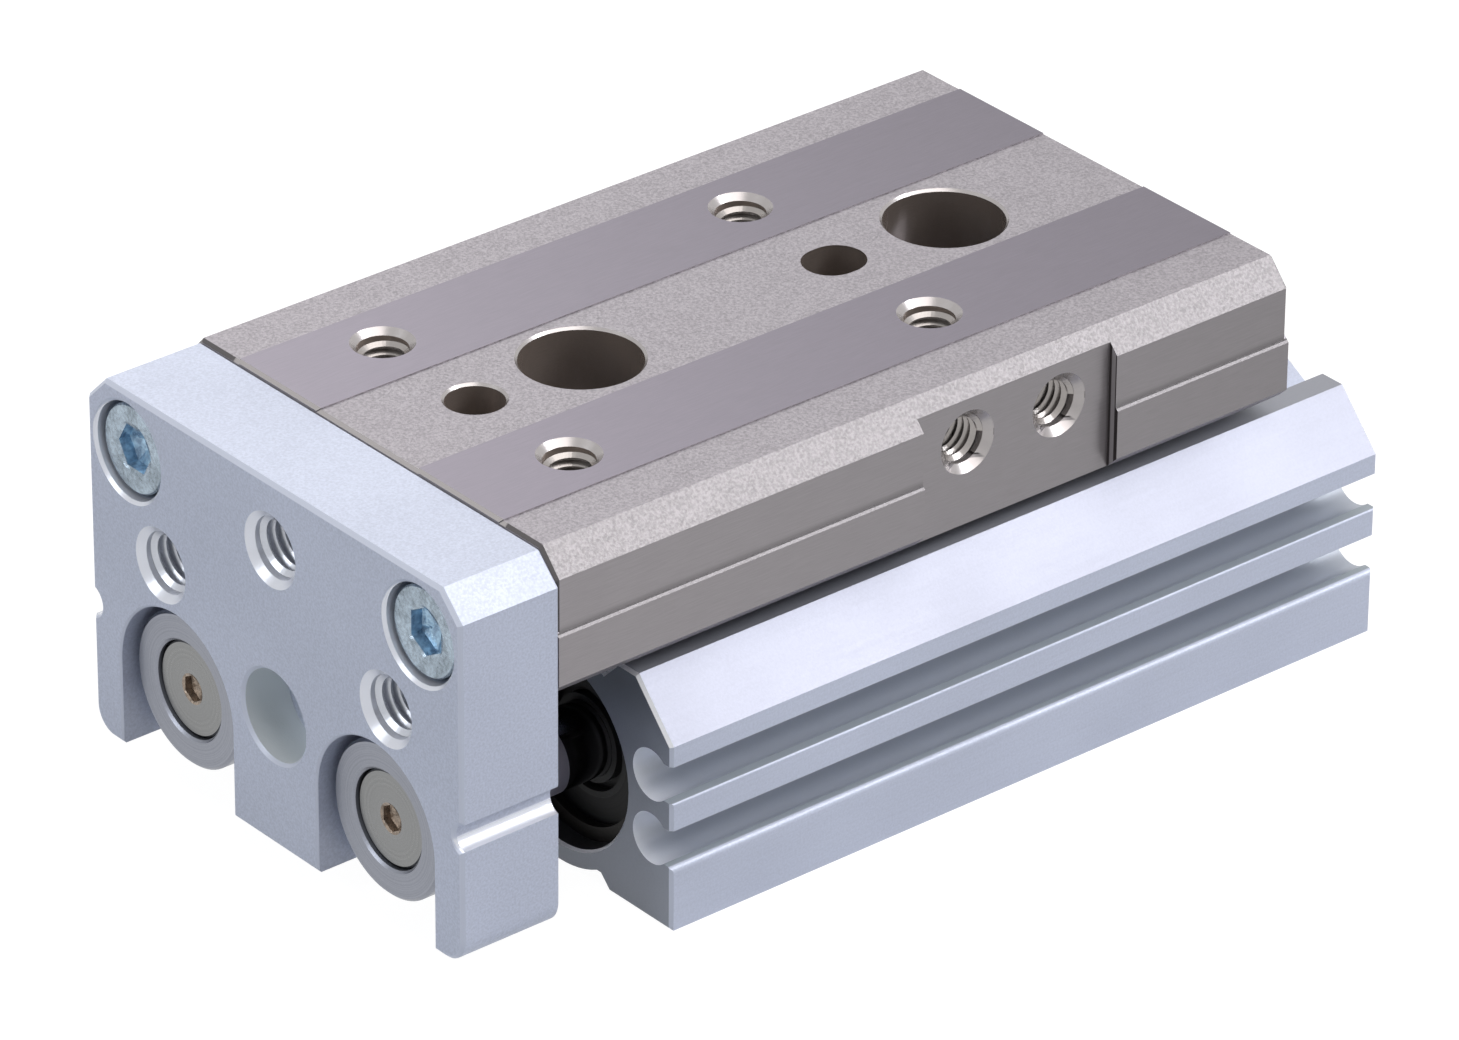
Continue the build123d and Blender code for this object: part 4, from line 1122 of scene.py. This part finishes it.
@dataclass
class BoreParts:
    """What fills and closes the two bores, on both sides."""

    fixed: dict[str, Finish] = field(default_factory=lambda: {
        "rod_cover": BLACK_COVER, "rod_bush": BRONZE, "rod_seal": RUBBER, "cover_o_ring": RUBBER,
        "head_plug": PISTON, "plug_o_ring": RUBBER, "front_bumper": RUBBER, "rear_bumper": RUBBER})
    moving: dict[str, Finish] = field(default_factory=lambda: {
        "piston_rod": CHROME_ROD, "rod_disc": TURNED, "piston": PISTON, "piston_seal": RUBBER,
        "piston_magnet": MAGNET})
    flat_screw: SocketScrew = SocketScrew(shank=3.0 * MM, head=7.7 * MM, height=1.6 * MM, socket=2.0 * MM,
                                          socket_depth=0.6 * MM, rim=0.16 * MM, mouth_break=0.1 * MM)
    rod_half_spacing: float = 12.0 * MM
    rod_height: float = 9.55 * MM

    def dress(self, shop: Workshop) -> None:
        """Gives each piece of both bores its finish.

        Args:
            shop: The workshop that holds the finishes.
        """
        for hand in Hand:
            for part, finish in {**self.fixed, **self.moving}.items():
                shop.dress(f"{hand.name.lower()}_{part}", finish)
        shop.dress("cover_retaining_rings", SPRING)
        shop.dress("plug_retaining_rings", SPRING)
        shop.dress("rod_end_screws", FLAT_SCREW)

    def build(self, shop: Workshop) -> None:
        """Makes the two flat screws in the discs, with their sockets.

        Args:
            shop: The workshop that holds the finishes.
        """
        mesh = bmesh.new()
        low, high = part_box("rod_end_screws")
        for hand in Hand:
            seat = Vector((low.x + self.flat_screw.height, hand.value * self.rod_half_spacing,
                           self.rod_height))
            self.flat_screw.place(mesh, seat, Vector((-1, 0, 0)), high.x - seat.x)
        screws = shop.piece(mesh, "rod_end_flat_screws", "table", "turned_steel", FLAT_SCREW, BROWN_SOCKET)
        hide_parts("rod_end_screws")


@dataclass
class BallGuide:
    """The guide under the table: block, balls, return caps, scrapers and their screws."""

    finishes: dict[str, Finish] = field(default_factory=lambda: {
        "guide_block": GUIDE_STEEL, "guide_balls": BALL_STEEL, "front_return_cap": CAP_PLASTIC,
        "rear_return_cap": CAP_PLASTIC, "front_scraper": RUBBER, "rear_scraper": RUBBER,
        "return_cap_screws": BLACK_OXIDE, "guide_block_screws": BLACK_OXIDE})

    def dress(self, shop: Workshop) -> None:
        """Gives each piece of the guide its finish."""
        for node, finish in self.finishes.items():
            shop.dress(node, finish)


@dataclass
class SlideTable:
    """The stainless table with the threads in its top and in its side pocket."""

    top_thread: TappedHole = TappedHole(4.0 * MM, 0.7 * MM, 5.6 * MM, 0.5 * MM)
    pocket_thread: TappedHole = TappedHole(4.0 * MM, 0.7 * MM, 5.0 * MM, 0.6 * MM)
    tap_inset: float = 10.0 * MM
    tap_pitch: float = 34.5 * MM
    tap_half_spacing: float = 11.0 * MM
    pocket_centre: float = 44.05 * MM
    pocket_half_pitch: float = 4.5 * MM
    pocket_setback: float = 1.05 * MM
    pocket_tap_drop: float = 4.95 * MM

    def dress(self, shop: Workshop) -> None:
        """Gives the table its worked surfaces."""
        shop.dress("slide_table", STAINLESS)

    def build(self, shop: Workshop) -> None:
        """Cuts the four threads in the top and the two in the pocket.

        Args:
            shop: The workshop that holds the finishes.
        """
        low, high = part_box("slide_table")
        first = low.x + self.tap_inset
        tops = [(x, hand.value * self.tap_half_spacing, high.z)
                for x in (first, first + self.tap_pitch) for hand in Hand]
        shop.threads("table_top_threads", "table", STEEL, self.top_thread, (0, 0, 1), tops)
        sides = [(low.x + self.pocket_centre + side * self.pocket_half_pitch, low.y + self.pocket_setback,
                  high.z - self.pocket_tap_drop) for side in (-1, 1)]
        shop.threads("pocket_threads", "table", STEEL, self.pocket_thread, (0, -1, 0), sides)


@dataclass
class EndPlate:
    """The end plate with its three threads and its two cap screws."""

    thread: TappedHole = TappedHole(5.0 * MM, 0.8 * MM, 7.0 * MM, 0.55 * MM)
    side_tap_half_spacing: float = 13.5 * MM
    side_tap_height: float = 20.0 * MM
    top_tap_height: float = 27.2 * MM
    cap_screw: SocketScrew = SocketScrew(shank=4.0 * MM, head=7.2 * MM, height=4.0 * MM, socket=3.45 * MM,
                                         socket_depth=1.0 * MM, rim=0.14 * MM, mouth_break=0.16 * MM,
                                         knurl_depth=0.1 * MM, plain_mouth=True)
    left_screw_turn: float = math.radians(30.0)

    def dress(self, shop: Workshop) -> None:
        """Gives the plate and its screws their finishes."""
        shop.dress("end_plate", ANODISED)
        shop.dress("end_plate_screws", ZINC)

    def build(self, shop: Workshop) -> None:
        """Cuts the three threads in the front face and makes the two cap screws.

        Args:
            shop: The workshop that holds the finishes.
        """
        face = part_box("end_plate")[0].x
        mouths = [(face, hand.value * self.side_tap_half_spacing, self.side_tap_height) for hand in Hand]
        mouths.append((face, 0.0, self.top_tap_height))
        shop.threads("plate_threads", "table", CLEAR, self.thread, (-1, 0, 0), mouths)
        low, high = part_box("end_plate_screws")
        mesh = bmesh.new()
        for hand in Hand:
            across = hand.value * (high.y - self.cap_screw.head / 2)
            seat = Vector((low.x + self.cap_screw.height, across, (low.z + high.z) / 2))
            turn = self.left_screw_turn if hand is Hand.LEFT else 0.0
            self.cap_screw.place(mesh, seat, Vector((-1, 0, 0)), high.x - seat.x, turn)
        screws = shop.piece(mesh, "plate_cap_screws", "table", "zinc_plated_screw", ZINC, ZINC_SOCKET_PAINTED_LIGHT)
        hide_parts("end_plate_screws")


@dataclass(frozen=True)
class SoftBox:
    """One soft square lamp, aimed at the middle of the object."""

    name: str
    place: Triple
    size: float
    power: float
    colour: Colour = (1.0, 1.0, 1.0)


@dataclass
class Studio:
    """A pale floor, soft lamps, a white surround and the camera of the photograph."""

    aim: Triple = (0.0, 0.0, 0.016)
    lamps: tuple[SoftBox, ...] = (
        SoftBox("overhead", (0.1, -0.45, 1.12), 1.1, 8.7, (1.0, 0.96, 0.95)),
        SoftBox("front_right", (0.78, -0.76, 0.8), 0.5, 7.4, (0.98, 1.0, 1.05)),
        SoftBox("front_left", (-1.0, 0.25, 0.55), 0.6, 3.3, (0.96, 1.0, 1.06)),
        SoftBox("back", (0.3, 0.9, 0.8), 0.7, 3.0),
    )
    ambient: float = 0.10
    floor_half: float = 3.0
    floor_colour: Colour = (0.42, 0.45, 0.50)
    floor_shadow_colour: Colour = (0.16, 0.16, 0.16)
    floor_glow: float = 0.96
    turn: float = -39.981
    tilt: float = 29.334
    roll: float = 0.427
    focal_pixels: float = 9295.8
    image_width: int = 1459
    sensor: float = 36.0
    shift_right: float = 6.617 * MM
    shift_down: float = 9.797 * MM
    distance: float = 715.86 * MM

    def build(self) -> None:
        """Sets up floor, surround, lamps and camera."""
        self.lay_floor()
        self.light_surround()
        for lamp in self.lamps:
            self.hang(lamp)
        self.stand_camera()
        bpy.context.scene.view_settings.view_transform = "Standard"

    def two_faced(self, sheet: Sheet, hidden: Socket, seen: Socket) -> Socket:
        """Joins two shaders.

        Args:
            sheet: The sheet of the material or surround.
            hidden: The shader that lights the object.
            seen: The shader for camera, glossy and transmission rays.

        Returns:
            The joined shader.
        """
        path = sheet.node("ShaderNodeLightPath").outputs
        direct = sheet.highest(path["Is Camera Ray"], path["Is Glossy Ray"], path["Is Transmission Ray"])
        return sheet.node("ShaderNodeMixShader", {0: direct, 1: hidden, 2: seen}).outputs[0]

    def lay_floor(self) -> None:
        """Lays a plain pale floor that stays white and keeps the object's shadow."""
        material = bpy.data.materials.new("pale_floor")
        material.use_nodes = True
        sheet = Sheet(material.node_tree)
        paint, shadow = (sheet.node("ShaderNodeBsdfDiffuse", {"Color": (*colour, 1.0)}).outputs[0]
                         for colour in (self.floor_colour, self.floor_shadow_colour))
        glow = sheet.node("ShaderNodeEmission", {"Strength": self.floor_glow}).outputs[0]
        white = sheet.node("ShaderNodeAddShader", {0: shadow, 1: glow}).outputs[0]
        sheet.node("ShaderNodeOutputMaterial", {"Surface": self.two_faced(sheet, paint, white)})
        mesh = bmesh.new()
        bmesh.ops.create_grid(mesh, x_segments=1, y_segments=1, size=self.floor_half)
        floor = put("floor", settled(mesh, "floor"))
        floor.data.materials.append(material)

    def light_surround(self) -> None:
        """Makes the surround white to the eye and in reflections, and a low even light elsewhere."""
        world = bpy.data.worlds.new("surround")
        world.use_nodes = True
        bpy.context.scene.world = world
        sheet = Sheet(world.node_tree)
        low, white = (sheet.node("ShaderNodeBackground",
                                 {"Color": (1.0, 1.0, 1.0, 1.0), "Strength": strength})
                      for strength in (self.ambient, 1.0))
        both = self.two_faced(sheet, low.outputs[0], white.outputs[0])
        sheet.node("ShaderNodeOutputWorld", {"Surface": both})

    def hang(self, lamp: SoftBox) -> None:
        """Hangs one soft lamp and turns it to the object.

        Args:
            lamp: The lamp.
        """
        light = bpy.data.lights.new(lamp.name, "AREA")
        light.shape = "RECTANGLE"
        light.size = lamp.size
        light.size_y = lamp.size
        light.energy = lamp.power
        light.color = lamp.colour
        made = put(lamp.name, light)
        made.location = lamp.place
        toward = Vector(self.aim) - Vector(lamp.place)
        made.rotation_euler = toward.to_track_quat("-Z", "Y").to_euler()

    def stand_camera(self) -> None:
        """Places the camera where the photograph's straight edges put it."""
        turn, tilt, roll = (math.radians(angle) for angle in (self.turn, self.tilt, self.roll))
        back = Vector((math.sin(turn) * math.cos(tilt), -math.cos(turn) * math.cos(tilt), math.sin(tilt)))
        level = Vector((math.cos(turn), math.sin(turn), 0.0))
        upright = back.cross(level)
        right = level * math.cos(roll) + upright * math.sin(roll)
        up = upright * math.cos(roll) - level * math.sin(roll)
        place = back * self.distance - right * self.shift_right + up * self.shift_down
        lens = bpy.data.cameras.new("camera")
        lens.sensor_fit = "HORIZONTAL"
        lens.sensor_width = self.sensor
        lens.lens = self.focal_pixels / self.image_width * self.sensor
        made = put("camera", lens)
        made.matrix_world = Matrix.Translation(place) @ Matrix((right, up, back)).transposed().to_4x4()
        bpy.context.scene.camera = made


def main() -> None:
    """Builds and dresses every sub-assembly, then the studio."""
    logging.basicConfig(level=logging.INFO, format="%(name)s %(message)s")
    shop = Workshop(Effects(grain_group(), drawn_group(), turned_group(), cloud_group()))
    for part in (CylinderBody(), BoreParts(), SlideTable(), EndPlate()):
        part.dress(shop)
        part.build(shop)
    BallGuide().dress(shop)
    Studio().build()


if __name__ == "__main__":
    main()
